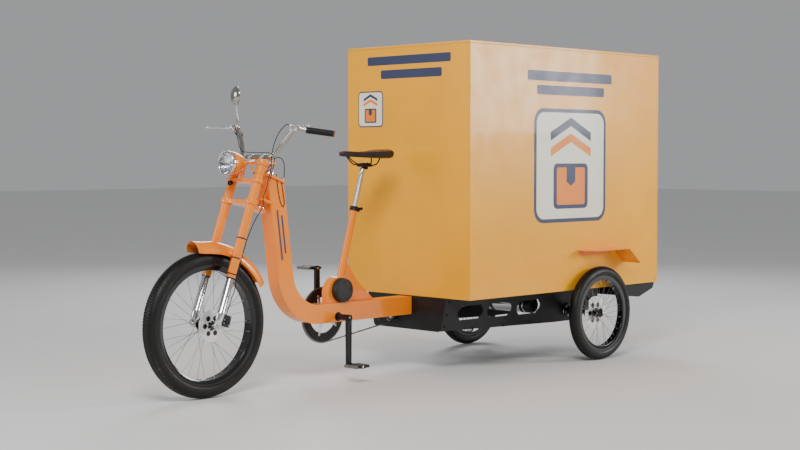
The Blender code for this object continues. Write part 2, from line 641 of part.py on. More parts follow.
cover_profile = [(0, 0), (0.061, 0), (0.062, 0.004), (0.062, 0.031), (0.057, 0.035), (0, 0.035)]
piece("housing_cover", turned(cover_profile, (HOUSING_HALF + GAP, housing_centre[0], 0.470), ALONG_X, 28),
      BLACK_PLASTIC)

COLLAR_AT = 0.412
seat_bore = rod(seat_foot + seat_way * 0.02, seat_foot + seat_way * 0.6, POST_RADIUS + RUN, 20)
piece("seat_tube", rod(seat_foot - seat_way * 0.0115, seat_foot + seat_way * COLLAR_AT, SEAT_TUBE_RADIUS,
                       20), FRAME_PAINT, cut=(seat_bore,))
collar_low = seat_foot + seat_way * (COLLAR_AT - 0.018)
collar_middle = collar_low + seat_way * 0.011
collar = rod(collar_low, collar_low + seat_way * 0.022, SEAT_TUBE_RADIUS + 0.006, 20)
clamp_ear = rod(collar_middle + Vector((0, SEAT_TUBE_RADIUS + 0.003, 0)),
                collar_middle + Vector((0.026, SEAT_TUBE_RADIUS + 0.014, 0)), 0.005, 8)
collar_bore = rod(collar_low - seat_way * 0.1, collar_low + seat_way * 0.1, SEAT_TUBE_RADIUS + GAP, 20)
piece("seat_collar", collar, BLACK_STEEL, add=(clamp_ear,), cut=(collar_bore,))

# ---------------------------------------------------------------- seat
POST_TOP = 0.630
post_origin = seat_foot + seat_way * COLLAR_AT
piece("seat_post", rod(seat_foot + seat_way * 0.200, seat_foot + seat_way * POST_TOP, POST_RADIUS, 16),
      STEEL, post_origin)
post_top = seat_foot + seat_way * POST_TOP
clamp_low = post_top.z + POST_RADIUS * math.sin(SEAT_LEAN) + GAP
RAIL_X = 0.022
clamp_block = block((-0.030, post_top.y - 0.024, clamp_low), (0.030, post_top.y + 0.032, clamp_low + 0.022))
saddle_nose = BOX_FRONT - SADDLE_NOSE_AHEAD
saddle_tail = saddle_nose + SADDLE_LENGTH
SADDLE_UNDER = SADDLE_HEIGHT - 0.048
RAIL_RADIUS = 0.0036
rails = []
for way in (1, -1):
    route = [(way * 0.006, saddle_nose + 0.060, SADDLE_UNDER + 0.004),
             (way * 0.012, saddle_nose + 0.110, clamp_low + 0.020),
             (way * RAIL_X, post_top.y - 0.020, clamp_low + 0.011),
             (way * RAIL_X, post_top.y + 0.045, clamp_low + 0.011),
             (way * 0.034, saddle_tail - 0.085, SADDLE_UNDER + 0.002)]
    rails.append(swept(smooth_path(route, 2), RAIL_RADIUS, 6))
bridge = rod((-0.009, saddle_nose + 0.062, SADDLE_UNDER + 0.003),
             (0.009, saddle_nose + 0.062, SADDLE_UNDER + 0.003), RAIL_RADIUS, 8)
piece("saddle_rails", clamp_block, BLACK_STEEL, post_origin, add=rails + [bridge])


def saddle_outline():
    """Plan of the saddle: a slim nose widening to two round lobes at the tail."""
    lobe = SADDLE_WIDTH / 2
    right = [(0.020, 0.0), (0.026, 0.03), (0.030, 0.10), (0.042, 0.17), (lobe * 0.75, 0.215),
             (lobe * 0.98, 0.262), (lobe, 0.295), (lobe * 0.86, 0.326), (lobe * 0.5, 0.342)]
    scale = SADDLE_LENGTH / 0.345
    plan = [(x, saddle_nose + y * scale) for x, y in right]
    return plan + [(-x, y) for x, y in plan[::-1]]


def saddle_solid():
    bm = prism(saddle_outline(), SADDLE_UNDER + 0.008, SADDLE_HEIGHT, "Z")
    for vert in bm.verts:
        back = (vert.co.y - saddle_nose) / SADDLE_LENGTH
        if vert.co.z > SADDLE_HEIGHT - 0.001:
            vert.co.x *= 0.86
            vert.co.y += 0.006 if back < 0.5 else -0.008
            vert.co.z += -0.010 + 0.014 * back
        else:
            vert.co.z += 0.010 * (0.5 - back)
    return solid(bm)


rail_room = block((-0.06, saddle_nose + 0.04, SADDLE_UNDER - 0.02),
                  (0.06, saddle_tail - 0.06, SADDLE_UNDER + 0.0125))
piece("saddle", saddle_solid(), LEATHER, post_origin, cut=(rail_room,))

# ---------------------------------------------------------------- cranks and chain
RING_PITCH = CHAIN_PITCH * RING_TEETH / (2 * math.pi)
SPROCKET_PITCH = CHAIN_PITCH * SPROCKET_TEETH / (2 * math.pi)
CHAIN_CLEAR = 0.0006
ARM_HALF = 0.0085
PEDAL_PIN = 0.006


def toothed(teeth, pitch_radius, depth, low, high, centre):
    """A gear blank with pointed teeth, inside the chain's inner face."""
    tip = pitch_radius - CHAIN_HEIGHT / 2 - CHAIN_CLEAR
    outline = []
    for i in range(teeth):
        for share, radius in ((0.0, tip), (0.5, tip - depth)):
            a = 2 * math.pi * (i + share) / teeth
            outline.append((centre.y + radius * math.cos(a), centre.z + radius * math.sin(a)))
    return prism(outline, low, high)


ring_low, ring_high = CHAIN_X - 0.0025, CHAIN_X + 0.0025
windows = []
for i in range(5):
    a0 = 2 * math.pi * i / 5 + 0.20
    a1 = 2 * math.pi * (i + 1) / 5 - 0.20
    wide = arc((CRANK.y, CRANK.z), RING_PITCH - 0.040, a0, a1, 5)
    tight = arc((CRANK.y, CRANK.z), 0.040, a1 - 0.1, a0 + 0.1, 2)
    windows.append(prism(wide + tight, ring_low - 0.01, ring_high + 0.01))
piece("chainring", toothed(RING_TEETH, RING_PITCH, 0.0045, ring_low, ring_high, CRANK), BLACK_STEEL, CRANK,
      cut=windows + [rod(CRANK - ALONG_X * 0.2, CRANK + ALONG_X * 0.2, SPINDLE_RADIUS + GAP, 20)])


def crank_arm(way):
    """An arm from the spindle to the pedal, its eye open for the pedal's pin."""
    drop = -way * CRANK_LENGTH
    x = way * CRANK_X
    foot = CRANK + Vector((x, 0, 0))
    low, high = sorted((CRANK_HEIGHT, CRANK_HEIGHT + drop))
    return (block((x - ARM_HALF, CRANK_Y - 0.011, low), (x + ARM_HALF, CRANK_Y + 0.011, high)),
            rod(foot - ALONG_X * ARM_HALF, foot + ALONG_X * ARM_HALF, 0.0165, 16),
            rod(foot + Vector((-ARM_HALF, 0, drop)), foot + Vector((ARM_HALF, 0, drop)), 0.0145, 16),
            rod(foot + Vector((-0.02, 0, drop)), foot + Vector((0.02, 0, drop)), PEDAL_PIN + RUN, 16))


for side, way in (("left", 1), ("right", -1)):
    arm, boss, eye, pin_hole = crank_arm(way)
    extra = [boss, eye]
    cuts = [pin_hole]
    if way < 0:
        extra.append(rod(CRANK - ALONG_X * CRANK_X, CRANK + ALONG_X * (CRANK_X - ARM_HALF - 0.0275),
                         SPINDLE_RADIUS, 20))
    else:
        extra.append(rod(CRANK + ALONG_X * (CRANK_X - ARM_HALF - 0.027), CRANK + ALONG_X * CRANK_X,
                         SPINDLE_RADIUS, 20))
    piece(f"crank_arm_{side}", arm, BLACK_STEEL, CRANK, add=extra, cut=cuts)

    hub = CRANK + Vector((way * CRANK_X, 0, -way * CRANK_LENGTH))
    low, high = sorted((way * (CRANK_X + ARM_HALF + 0.004), way * (CRANK_X + ARM_HALF + 0.102)))
    body = block((low, CRANK_Y - 0.044, hub.z - 0.0095), (high, CRANK_Y + 0.044, hub.z + 0.0095))
    slots = [block((low + 0.020, CRANK_Y + s * 0.026 - 0.010, hub.z - 0.02),
                   (high - 0.020, CRANK_Y + s * 0.026 + 0.010, hub.z + 0.02)) for s in (1, -1)]
    pin = rod(hub - ALONG_X * way * ARM_HALF, hub + ALONG_X * way * (ARM_HALF + 0.03), PEDAL_PIN, 16)
    piece(f"pedal_{side}", body, BLACK_STEEL, hub, add=(pin,), cut=slots)

SPROCKET = Vector((0, BOX_FRONT - SPROCKET_AHEAD, SPROCKET_HEIGHT))
half = CHAIN_HEIGHT / 2
loops = [loop_round((CRANK.y, CRANK.z), RING_PITCH + s * half, (SPROCKET.y, SPROCKET.z),
                    SPROCKET_PITCH + s * half) for s in (1, -1)]
piece("drive_chain", band(*loops, CHAIN_X - CHAIN_WIDTH / 2, CHAIN_X + CHAIN_WIDTH / 2), STEEL)
SHAFT_RADIUS = 0.006
GENERATOR_RIGHT = -0.170
shaft_end = SPROCKET + ALONG_X * GENERATOR_RIGHT * 0.75
shaft = rod(shaft_end, SPROCKET + ALONG_X * (CHAIN_X + 0.022), SHAFT_RADIUS, 12)
piece("generator_sprocket", toothed(SPROCKET_TEETH, SPROCKET_PITCH, 0.0045, ring_low, ring_high, SPROCKET),
      STEEL, SPROCKET, add=(shaft,))
generator = rod(SPROCKET + ALONG_X * GENERATOR_RIGHT, SPROCKET + ALONG_X * (CHAIN_X - 0.012), 0.031, 24)
foot = block((GENERATOR_RIGHT + 0.012, SPROCKET.y, SPROCKET_HEIGHT - 0.020),
             (CHAIN_X - 0.024, BOX_FRONT - 0.0053, SPROCKET_HEIGHT + 0.020))
shaft_bore = rod(shaft_end - ALONG_X * 0.001, SPROCKET, SHAFT_RADIUS + RUN, 16)
piece("generator", generator, BLACK_STEEL, add=(foot,), cut=(shaft_bore,))

# ---------------------------------------------------------------- chassis
CHASSIS_TOP = BOX_CLEARANCE - GAP
FOOT_FRONT = 0.226
FOOT_BACK = 0.200
PLATE_Y = BOX_FRONT - 0.0037
CHASSIS_BACK = BOX_FRONT + 1.330
HOLE_LENGTH = 0.204
HOLE_HALF_HEIGHT = 0.039


def lean_x(z):
    """Distance of a side plate's outer face from the middle, at a height."""
    share = (CHASSIS_TOP - z) / (CHASSIS_TOP - FOOT_FRONT)
    return CHASSIS_TOP_X + (CHASSIS_FOOT_X - CHASSIS_TOP_X) * share


def leaning_plate(outline, way):
    """A sheet in the (y, z) plane, laid against the leaning side of the chassis."""
    bm = prism(outline, -CHASSIS_SHEET, 0)
    for vert in bm.verts:
        vert.co.x = way * (lean_x(vert.co.z) + vert.co.x)
    return solid(bm)


def chamfered(low_y, high_y, low_z, high_z, cut):
    return [(low_y + cut, low_z), (high_y - cut, low_z), (high_y, low_z + cut), (high_y, high_z - cut),
            (high_y - cut, high_z), (low_y + cut, high_z), (low_y, high_z - cut), (low_y, low_z + cut)]


side_start = PLATE_Y + CHASSIS_SHEET + GAP
plate_line = [(side_start, CHASSIS_TOP), (side_start, FOOT_FRONT), (BOX_FRONT + 0.98, FOOT_BACK),
              (BOX_FRONT + 1.20, FOOT_BACK), (CHASSIS_BACK, 0.300), (CHASSIS_BACK, CHASSIS_TOP)]
for side, way in (("left", 1), ("right", -1)):
    cuts = []
    for start in (0.114, 0.357, 0.607):
        y = BOX_FRONT + start
        z = 0.318 - 0.012 * start
        hole = chamfered(y, y + HOLE_LENGTH, z - HOLE_HALF_HEIGHT, z + HOLE_HALF_HEIGHT, 0.028)
        cuts.append(prism(hole, *sorted((way * 0.2, way * 0.4))))
    cuts.append(rod((way * 0.2, REAR_AXLE_Y, REAR_RADIUS), (way * 0.4, REAR_AXLE_Y, REAR_RADIUS), 0.024, 16))
    piece(f"chassis_{side}", leaning_plate(plate_line, way), BLACK_STEEL, cut=cuts)

foot_x = lean_x(FOOT_FRONT)
top_x = lean_x(CHASSIS_TOP)
front_line = [(-foot_x + 0.008, FOOT_FRONT - 0.003), (foot_x - 0.008, FOOT_FRONT - 0.003),
              (foot_x, FOOT_FRONT + 0.005), (top_x, CHASSIS_TOP), (-top_x, CHASSIS_TOP),
              (-foot_x, FOOT_FRONT + 0.005)]
piece("chassis_front", prism(front_line, PLATE_Y, PLATE_Y + CHASSIS_SHEET, "Y"), BLACK_STEEL)

bumper_half = HALF_BOX - 0.016
bumper = [(CHASSIS_BACK + 0.010, CHASSIS_TOP), (CHASSIS_BACK + 0.010, 0.345), (CHASSIS_BACK + 0.200, 0.325),
          (BOX_BACK - 0.020, 0.370), (BOX_BACK - 0.004, CHASSIS_TOP)]
inside = [(CHASSIS_BACK + 0.016, CHASSIS_TOP + 0.01), (CHASSIS_BACK + 0.016, 0.350),
          (CHASSIS_BACK + 0.200, 0.331), (BOX_BACK - 0.024, 0.375), (BOX_BACK - 0.012, CHASSIS_TOP + 0.01)]
piece("rear_bumper", prism(bumper, -bumper_half, bumper_half), BLACK_STEEL,
      cut=(prism(inside, -bumper_half + 0.005, bumper_half - 0.005),))

# axle carriers: a plate under the box, a stub axle out through the hub, a caliper on the rotor
CARRIER_INSET = 0.073           # carrier plate, inboard of the wheel's middle
CARRIER_X = REAR_TRACK / 2 - CARRIER_INSET
CARRIER = 0.008
FLANGE_RADIUS = 0.040
for side, way in (("left", 1), ("right", -1)):
    near, far = sorted((way * CARRIER_X, way * (CARRIER_X + CARRIER)))
    top = BOX_CLEARANCE - GAP
    plate_outline = [(REAR_AXLE_Y - 0.030, REAR_RADIUS - 0.060), (REAR_AXLE_Y + 0.030, REAR_RADIUS - 0.060),
                     (REAR_AXLE_Y + 0.062, REAR_RADIUS), (REAR_AXLE_Y + 0.062, top),
                     (REAR_AXLE_Y - 0.062, top), (REAR_AXLE_Y - 0.062, REAR_RADIUS)]

    def axle_rod(near_x, far_x, radius):
        return rod((way * near_x, REAR_AXLE_Y, REAR_RADIUS), (way * far_x, REAR_AXLE_Y, REAR_RADIUS), radius)

    wheel_x = REAR_TRACK / 2
    seat_x = lean_x(REAR_RADIUS + FLANGE_RADIUS) + 0.001
    beam_tube = axle_rod(seat_x + 0.003, CARRIER_X + 0.002, 0.020)
    flange = axle_rod(seat_x, seat_x + 0.008, FLANGE_RADIUS)
    stub = axle_rod(CARRIER_X + 0.004, wheel_x + 0.030, STUB_RADIUS)
    rotor_x = wheel_x - ROTOR_INSET
    body_x = sorted((way * (rotor_x - 0.018), way * (rotor_x + 0.006)))
    body = block((body_x[0], REAR_AXLE_Y - 0.104, REAR_RADIUS + 0.020),
                 (body_x[1], REAR_AXLE_Y - 0.066, REAR_RADIUS + 0.074))
    mount_x = sorted((way * (CARRIER_X + 0.003), way * (rotor_x - 0.010)))
    mount = block((mount_x[0], REAR_AXLE_Y - 0.100, REAR_RADIUS + 0.030),
                  (mount_x[1], REAR_AXLE_Y - 0.050, REAR_RADIUS + 0.060))
    notch = turned([(0, -0.0035), (REAR_ROTOR + 0.003, -0.0035), (REAR_ROTOR + 0.003, 0.0035), (0, 0.0035)],
                   (way * rotor_x, REAR_AXLE_Y, REAR_RADIUS), ALONG_X, 32)
    # the stub axle goes through the notch, so it is joined after the cut
    piece(f"axle_carrier_{side}", prism(plate_outline, near, far), BLACK_STEEL,
          add=(beam_tube, flange, body, mount), cut=(notch,), then=(stub,))

# drive motor across the chassis, and the battery beside it
MOTOR_Y = BOX_FRONT + 0.850
MOTOR_Z = 0.305
motor = turned([(0, -0.160), (0.036, -0.160), (0.047, -0.150), (0.047, 0.190), (0.040, 0.200), (0, 0.200)],
               (0, MOTOR_Y, MOTOR_Z), ALONG_X, 28)
hanger = block((-0.10, MOTOR_Y - 0.020, MOTOR_Z + 0.030), (0.14, MOTOR_Y + 0.020, BOX_CLEARANCE - GAP))
piece("drive_motor", motor, CHROME, add=(hanger,))
battery = block((-0.205, BOX_FRONT + 0.030, 0.268), (-0.020, BOX_FRONT + 0.350, BOX_CLEARANCE - GAP))
piece("battery_pack", battery, BLACK_PLASTIC)

# ---------------------------------------------------------------- box
left, right = HALF_BOX, -HALF_BOX
DOOR_FRONT = BOX_BACK - PANEL
wall_back = DOOR_FRONT - GAP
wall_low = BOX_CLEARANCE
floor_top = BOX_CLEARANCE + PANEL
roof_low = BOX_TOP - PANEL
front_back = BOX_FRONT + PANEL
inside_left = left - PANEL - GAP
floor_panel = block((-inside_left, front_back + GAP, wall_low), (inside_left, wall_back, floor_top))
front_panel = block((-inside_left, BOX_FRONT, wall_low), (inside_left, front_back, roof_low - GAP))
piece("box_floor", floor_panel, BLACK_STEEL)
piece("box_roof", block((right, BOX_FRONT, roof_low), (left, wall_back, BOX_TOP)), BOX_PAINT)
piece("box_front", front_panel, BOX_PAINT)
HINGE_X = right - 0.004
HINGE_Y = BOX_BACK + 0.006
HINGES = (0.20, 0.68, 1.16)
HINGE_RADIUS = 0.006
side_walls = {"left": (left - PANEL, left), "right": (right, right + PANEL)}
pins = []
barrels = []
bores = []
for up in HINGES:
    z = BOX_CLEARANCE + up
    for low, high in ((z - 0.056, z - 0.026), (z + 0.026, z + 0.056)):
        pins.append(block((right - 0.010, wall_back - 0.040, low), (right + 0.001, wall_back - 0.001, high)))
        pins.append(block((right - 0.009, wall_back - 0.010, low), (right - GAP, HINGE_Y + 0.004, high)))
    pins.append(rod((HINGE_X, HINGE_Y, z - 0.056), (HINGE_X, HINGE_Y, z + 0.056), 0.0025, 8))
    barrels.append(rod((HINGE_X, HINGE_Y, z - 0.025), (HINGE_X, HINGE_Y, z + 0.025), HINGE_RADIUS, 12))
    barrels.append(block((HINGE_X, BOX_BACK - 0.003, z - 0.025),
                         (HINGE_X + 0.050, BOX_BACK + 0.004, z + 0.025)))
    bores.append(rod((HINGE_X, HINGE_Y, z - 0.03), (HINGE_X, HINGE_Y, z + 0.03), 0.0025 + RUN, 12))
for side, (low, high) in side_walls.items():
    piece(f"box_{side}", block((low, BOX_FRONT, wall_low), (high, wall_back, roof_low - GAP)), BOX_PAINT,
          add=pins if side == "right" else ())
piece("rear_door", block((right, DOOR_FRONT, wall_low), (left, BOX_BACK, BOX_TOP)), BOX_PAINT,
      (HINGE_X, HINGE_Y, BOX_CLEARANCE), add=barrels, cut=bores)
LATCH = Vector((left - 0.060, BOX_BACK + GAP, 1.060))
latch_plate = rod(LATCH, LATCH + ALONG_Y * 0.008, 0.022, 20)
latch_grip = block((LATCH.x - 0.100, LATCH.y + 0.012, LATCH.z - 0.009),
                   (LATCH.x + 0.014, LATCH.y + TAIL - GAP, LATCH.z + 0.009))
latch_stem = rod(LATCH + ALONG_Y * 0.004, LATCH + ALONG_Y * 0.018, 0.010, 16)
piece("door_latch", latch_plate, STEEL, LATCH, add=(latch_stem, latch_grip))

# wheel guards: bent plates on the box sides above the rear wheels
GUARD_Z = 0.630
GUARD_START = BOX_FRONT + 0.908
GUARD_BEND = BOX_FRONT + 1.245
GUARD_END = BOX_FRONT + 1.351
GUARD_FALL = 0.086
SHEET = 0.004
for side, way in (("left", 1), ("right", -1)):
    base = way * (HALF_BOX + GAP)
    tip = way * (HALF_BOX + GUARD_REACH)
    low, high = sorted((base, tip))
    profile = [(GUARD_START, GUARD_Z), (GUARD_BEND, GUARD_Z), (GUARD_END, GUARD_Z - GUARD_FALL),
               (GUARD_END + SHEET * 0.6, GUARD_Z - GUARD_FALL + SHEET * 0.8),
               (GUARD_BEND + SHEET * 0.4, GUARD_Z + SHEET), (GUARD_START, GUARD_Z + SHEET)]
    corner = prism([(tip, GUARD_START - 0.01), (tip - way * 0.105, GUARD_START - 0.01),
                    (tip, GUARD_START + 0.020)], GUARD_Z - 0.01, GUARD_Z + 0.02, "Z")
    flange_x = sorted((base, base + way * SHEET))
    flange = block((flange_x[0], GUARD_START + 0.02, GUARD_Z - 0.030),
                   (flange_x[1], GUARD_BEND - 0.02, GUARD_Z + 0.001))
    piece(f"wheel_guard_{side}", prism(profile, low, high), FRAME_PAINT, add=(flange,), cut=(corner,))


# ---------------------------------------------------------------- cables
def cable(name, route, radius, parent=None):
    """A round cable as a curve, read from a smooth line through its points."""
    path = smooth_path(route, 2)
    curve = bpy.data.curves.new(name, "CURVE")
    curve.dimensions = "3D"
    curve.bevel_depth = radius
    curve.bevel_resolution = 2
    curve.use_fill_caps = True
    spline = curve.splines.new("POLY")
    spline.points.add(len(path) - 1)
    for target, point in zip(spline.points, path):
        target.co = (*point, 1)
    curve.materials.append(BLACK_PLASTIC)
    made = bpy.data.objects.new(name, curve)
    made.parent = parent
    bpy.context.scene.collection.objects.link(made)
    return made


CABLE_RADIUS = 0.0022
cable("brake_cable_left",
      [(0.2060, -0.1420, 0.2060), (0.1780, -0.1440, 0.1740), (0.1540, -0.1400, 0.1240),
       (0.1420, -0.1320, 0.0700), (0.1340, -0.1180, 0.0200), (0.1270, -0.0980, -0.0300),
       (0.1230, -0.0930, -0.0900), (0.1260, -0.0900, -0.1160), (0.1200, -0.0930, -0.1700),
       (0.1270, -0.0850, -0.2160), (0.1150, -0.1010, -0.3000), (0.1090, -0.1110, -0.4000),
       (0.1090, -0.1110, -0.5000), (0.1070, -0.1070, -0.5800), (0.0880, -0.0850, -0.6600)],
      CABLE_RADIUS, steering)
cable("head_cable",
      [tuple(RAKED @ Vector(p)) for p in
       ((0.030, 0.030, 0.046), (0.036, 0.046, 0.034), (0.041, 0.056, 0.010), (0.044, 0.060, -0.016),
        (0.045, 0.061, -0.0322))], CABLE_RADIUS)
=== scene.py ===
"""Looks for a cargo tricycle: paint, rubber, leather, chrome and the fine parts on its frame."""

import json
import math

import bmesh
import bpy
from bpy.props import FloatProperty, FloatVectorProperty, IntProperty, PointerProperty
from mathutils import Matrix, Vector

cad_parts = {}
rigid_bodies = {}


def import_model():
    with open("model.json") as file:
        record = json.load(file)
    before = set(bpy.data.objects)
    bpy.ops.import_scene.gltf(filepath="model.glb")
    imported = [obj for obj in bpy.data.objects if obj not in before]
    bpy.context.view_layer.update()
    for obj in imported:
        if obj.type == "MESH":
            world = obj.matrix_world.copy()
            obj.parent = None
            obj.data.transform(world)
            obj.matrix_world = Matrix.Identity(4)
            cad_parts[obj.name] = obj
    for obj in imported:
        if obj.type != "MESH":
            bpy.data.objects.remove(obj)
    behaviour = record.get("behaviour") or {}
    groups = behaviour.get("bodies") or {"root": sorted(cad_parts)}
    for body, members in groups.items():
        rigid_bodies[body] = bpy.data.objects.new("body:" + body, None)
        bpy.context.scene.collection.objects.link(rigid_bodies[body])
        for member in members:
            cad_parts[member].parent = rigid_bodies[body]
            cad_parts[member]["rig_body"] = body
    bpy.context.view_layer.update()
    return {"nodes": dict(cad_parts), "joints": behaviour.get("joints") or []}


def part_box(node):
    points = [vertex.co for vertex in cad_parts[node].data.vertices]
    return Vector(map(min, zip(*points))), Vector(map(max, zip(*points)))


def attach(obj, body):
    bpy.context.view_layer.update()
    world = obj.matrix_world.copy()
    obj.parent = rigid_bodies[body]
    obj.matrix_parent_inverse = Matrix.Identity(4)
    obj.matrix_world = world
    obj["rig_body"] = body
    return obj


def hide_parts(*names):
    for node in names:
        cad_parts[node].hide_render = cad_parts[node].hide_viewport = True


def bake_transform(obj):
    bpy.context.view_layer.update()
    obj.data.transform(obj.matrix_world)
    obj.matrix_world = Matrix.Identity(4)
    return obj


bl_info = {
    "name": "Cargo Tricycle Looks",
    "version": (1, 0, 0),
    "blender": (4, 5, 0),
    "location": "View3D > Sidebar > Tricycle",
    "description": "Builds the finished surfaces of a cargo tricycle round its frame",
    "category": "Add Mesh",
}

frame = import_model()

ALONG_X = Vector((1, 0, 0))
ALONG_Y = Vector((0, 1, 0))
UP = Vector((0, 0, 1))
SIDES = (("left", 1), ("right", -1))
GRAPHIC_LIFT = 0.0006           # painted signs above the panel they are on


# ---------------------------------------------------------------- the frame's places
def joint(name):
    return next(j for j in frame["joints"] if j["name"] == name)


def middle(node):
    low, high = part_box(node)
    return (low + high) / 2


def span(node):
    low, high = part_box(node)
    return high - low


HEAD = Vector(joint("steering")["pos_m"])
STEER = Vector(joint("steering")["axis"])
RAKE = math.atan2(STEER.y, STEER.z)
RAKED = Matrix.Translation(HEAD) @ Matrix.Rotation(-RAKE, 4, "X")
TO_FORK = RAKED.inverted()
FRONT_AXLE = Vector(joint("front_wheel_spin")["pos_m"])
LEG_X = middle("fork_leg_left").x
LEG_Y = (TO_FORK @ FRONT_AXLE).y
AXLE_Z = (TO_FORK @ FRONT_AXLE).z
LEG_RADIUS = span("fork_leg_left").x / 2
CRANK = Vector(joint("crank_spin")["pos_m"])
SPROCKET = Vector(joint("sprocket_spin")["pos_m"])
BOX_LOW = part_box("rear_door")[0].copy()
BOX_LOW.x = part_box("box_roof")[0].x
BOX_LOW.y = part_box("box_front")[0].y
BOX_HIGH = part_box("rear_door")[1].copy()
BOX_HIGH.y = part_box("box_roof")[1].y
FRONT_Y = BOX_LOW.y
PANEL = span("box_roof").z
SEAT_WAY = Vector(joint("seat_height")["axis"])


# ---------------------------------------------------------------- properties
class TRIKE_PG_colours(bpy.types.PropertyGroup):
    frame_paint: FloatVectorProperty(
        name="Frame Paint", description="Enamel of the frame and fork", subtype="COLOR", size=3,
        min=0, max=1, default=(1.0, 0.255, 0.004))
    box_paint: FloatVectorProperty(
        name="Box Paint", description="Lacquer of the delivery box", subtype="COLOR", size=3,
        min=0, max=1, default=(1.0, 0.425, 0.0))
    ink: FloatVectorProperty(
        name="Sign Ink", description="Dark ink of the painted signs", subtype="COLOR", size=3,
        min=0, max=1, default=(0.035, 0.045, 0.105))
    cream: FloatVectorProperty(
        name="Sign Cream", description="Ground colour of the painted signs", subtype="COLOR", size=3,
        min=0, max=1, default=(0.86, 0.83, 0.68))
    leather: FloatVectorProperty(
        name="Leather", description="Top of the saddle", subtype="COLOR", size=3,
        min=0, max=1, default=(0.115, 0.026, 0.014))
    black: FloatVectorProperty(
        name="Chassis Black", description="Powder coat of the chassis", subtype="COLOR", size=3,
        min=0, max=1, default=(0.0045, 0.0045, 0.005))


class TRIKE_PG_sizes(bpy.types.PropertyGroup):
    spokes: IntProperty(
        name="Spoke Sets", description="Sets of four crossed spokes in each wheel", default=8, min=4, max=12)
    spoke_radius: FloatProperty(
        name="Spoke Radius", description="Half the thickness of a spoke", default=0.0011, min=0.0005,
        max=0.004, unit="LENGTH")
    tread_pitch: FloatProperty(
        name="Tread Pitch", description="Distance between tread ribs", default=0.015, min=0.006,
        max=0.03, unit="LENGTH")
    tread_height: FloatProperty(
        name="Tread Height", description="How far a rib stands out of the tyre", default=0.0034,
        min=0.0005, max=0.006, unit="LENGTH")
    screw_radius: FloatProperty(
        name="Panel Screw Radius", description="Radius of the screws in the box panels", default=0.0048,
        min=0.002, max=0.02, unit="LENGTH")
    edge: FloatProperty(
        name="Edge Radius", description="Rounding of folded and welded edges", default=0.004,
        min=0.0005, max=0.02, unit="LENGTH")
    knurl_rows: IntProperty(
        name="Grip Rows", description="Rows of raised diamonds along a grip", default=14, min=4, max=30)


# ---------------------------------------------------------------- materials
def shader_material(name, colour, roughness, metallic=0.0):
    made = bpy.data.materials.new(name)
    made.use_nodes = True
    shader = made.node_tree.nodes["Principled BSDF"]
    shader.inputs["Base Color"].default_value = (*colour, 1)
    shader.inputs["Roughness"].default_value = roughness
    shader.inputs["Metallic"].default_value = metallic
    return made, made.node_tree, shader


def noise(tree, scale, detail=4.0, stretch=None):
    """A noise read from object coordinates, stretched along an axis if asked."""
    place = tree.nodes.new("ShaderNodeTexCoord")
    made = tree.nodes.new("ShaderNodeTexNoise")
    made.inputs["Scale"].default_value = scale
    made.inputs["Detail"].default_value = detail
    source = place.outputs["Object"]
    if stretch:
        mapping = tree.nodes.new("ShaderNodeMapping")
        mapping.inputs["Scale"].default_value = stretch
        tree.links.new(source, mapping.inputs["Vector"])
        source = mapping.outputs["Vector"]
    tree.links.new(source, made.inputs["Vector"])
    return made.outputs["Fac"]


def ramp(tree, source, stops):
    """A colour ramp from a list of (position, colour)."""
    made = tree.nodes.new("ShaderNodeValToRGB")
    points = made.color_ramp.elements
    while len(points) < len(stops):
        points.new(0.5)
    for point, (position, colour) in zip(points, stops):
        point.position = position
        point.color = (*colour, 1)
    tree.links.new(source, made.inputs["Fac"])
    return made.outputs["Color"]


def spread(tree, source, low, high):
    """A value between low and high, led by a noise."""
    made = tree.nodes.new("ShaderNodeMapRange")
    made.inputs["From Min"].default_value = 0.3
    made.inputs["From Max"].default_value = 0.7
    made.inputs["To Min"].default_value = low
    made.inputs["To Max"].default_value = high
    tree.links.new(source, made.inputs["Value"])
    return made.outputs["Result"]


def bump(tree, shader, source, distance, strength=1.0, after=None):
    made = tree.nodes.new("ShaderNodeBump")
    made.inputs["Distance"].default_value = distance
    made.inputs["Strength"].default_value = strength
    tree.links.new(source, made.inputs["Height"])
    if after:
        tree.links.new(after, made.inputs["Normal"])
    tree.links.new(made.outputs["Normal"], shader.inputs["Normal"])
    return made.outputs["Normal"]


def shade(colour, factor):
    return tuple(min(1.0, c * factor) for c in colour)


def enamel(name, colour, roughness, coat, peel=0.00012):
    """Sprayed paint: faint cloudiness, orange peel and a clear coat."""
    made, tree, shader = shader_material(name, colour, roughness)
    cloud = noise(tree, 3.0, 3.0)
    tint = ramp(tree, cloud, [(0.3, shade(colour, 0.93)), (0.7, shade(colour, 1.05))])
    tree.links.new(tint, shader.inputs["Base Color"])
    tree.links.new(spread(tree, noise(tree, 9.0), roughness * 0.85, roughness * 1.2), shader.inputs["Roughness"])
    shader.inputs["Coat Weight"].default_value = coat
    shader.inputs["Specular IOR Level"].default_value = 0.35
    shader.inputs["Coat Roughness"].default_value = 0.06
    bump(tree, shader, noise(tree, 420.0, 2.0), peel)
    return made


def powder_coat(name, colour, roughness=0.42):
    """Black powder coat: fine grain and worn, dusty patches."""
    made, tree, shader = shader_material(name, colour, roughness)
    worn = ramp(tree, noise(tree, 14.0, 6.0), [(0.35, colour), (0.75, shade(colour, 2.1))])
    tree.links.new(worn, shader.inputs["Base Color"])
    tree.links.new(spread(tree, noise(tree, 6.0), roughness * 0.8, roughness * 1.3), shader.inputs["Roughness"])
    shader.inputs["Specular IOR Level"].default_value = 0.34
    bump(tree, shader, noise(tree, 900.0, 2.0), 0.00015)
    return made


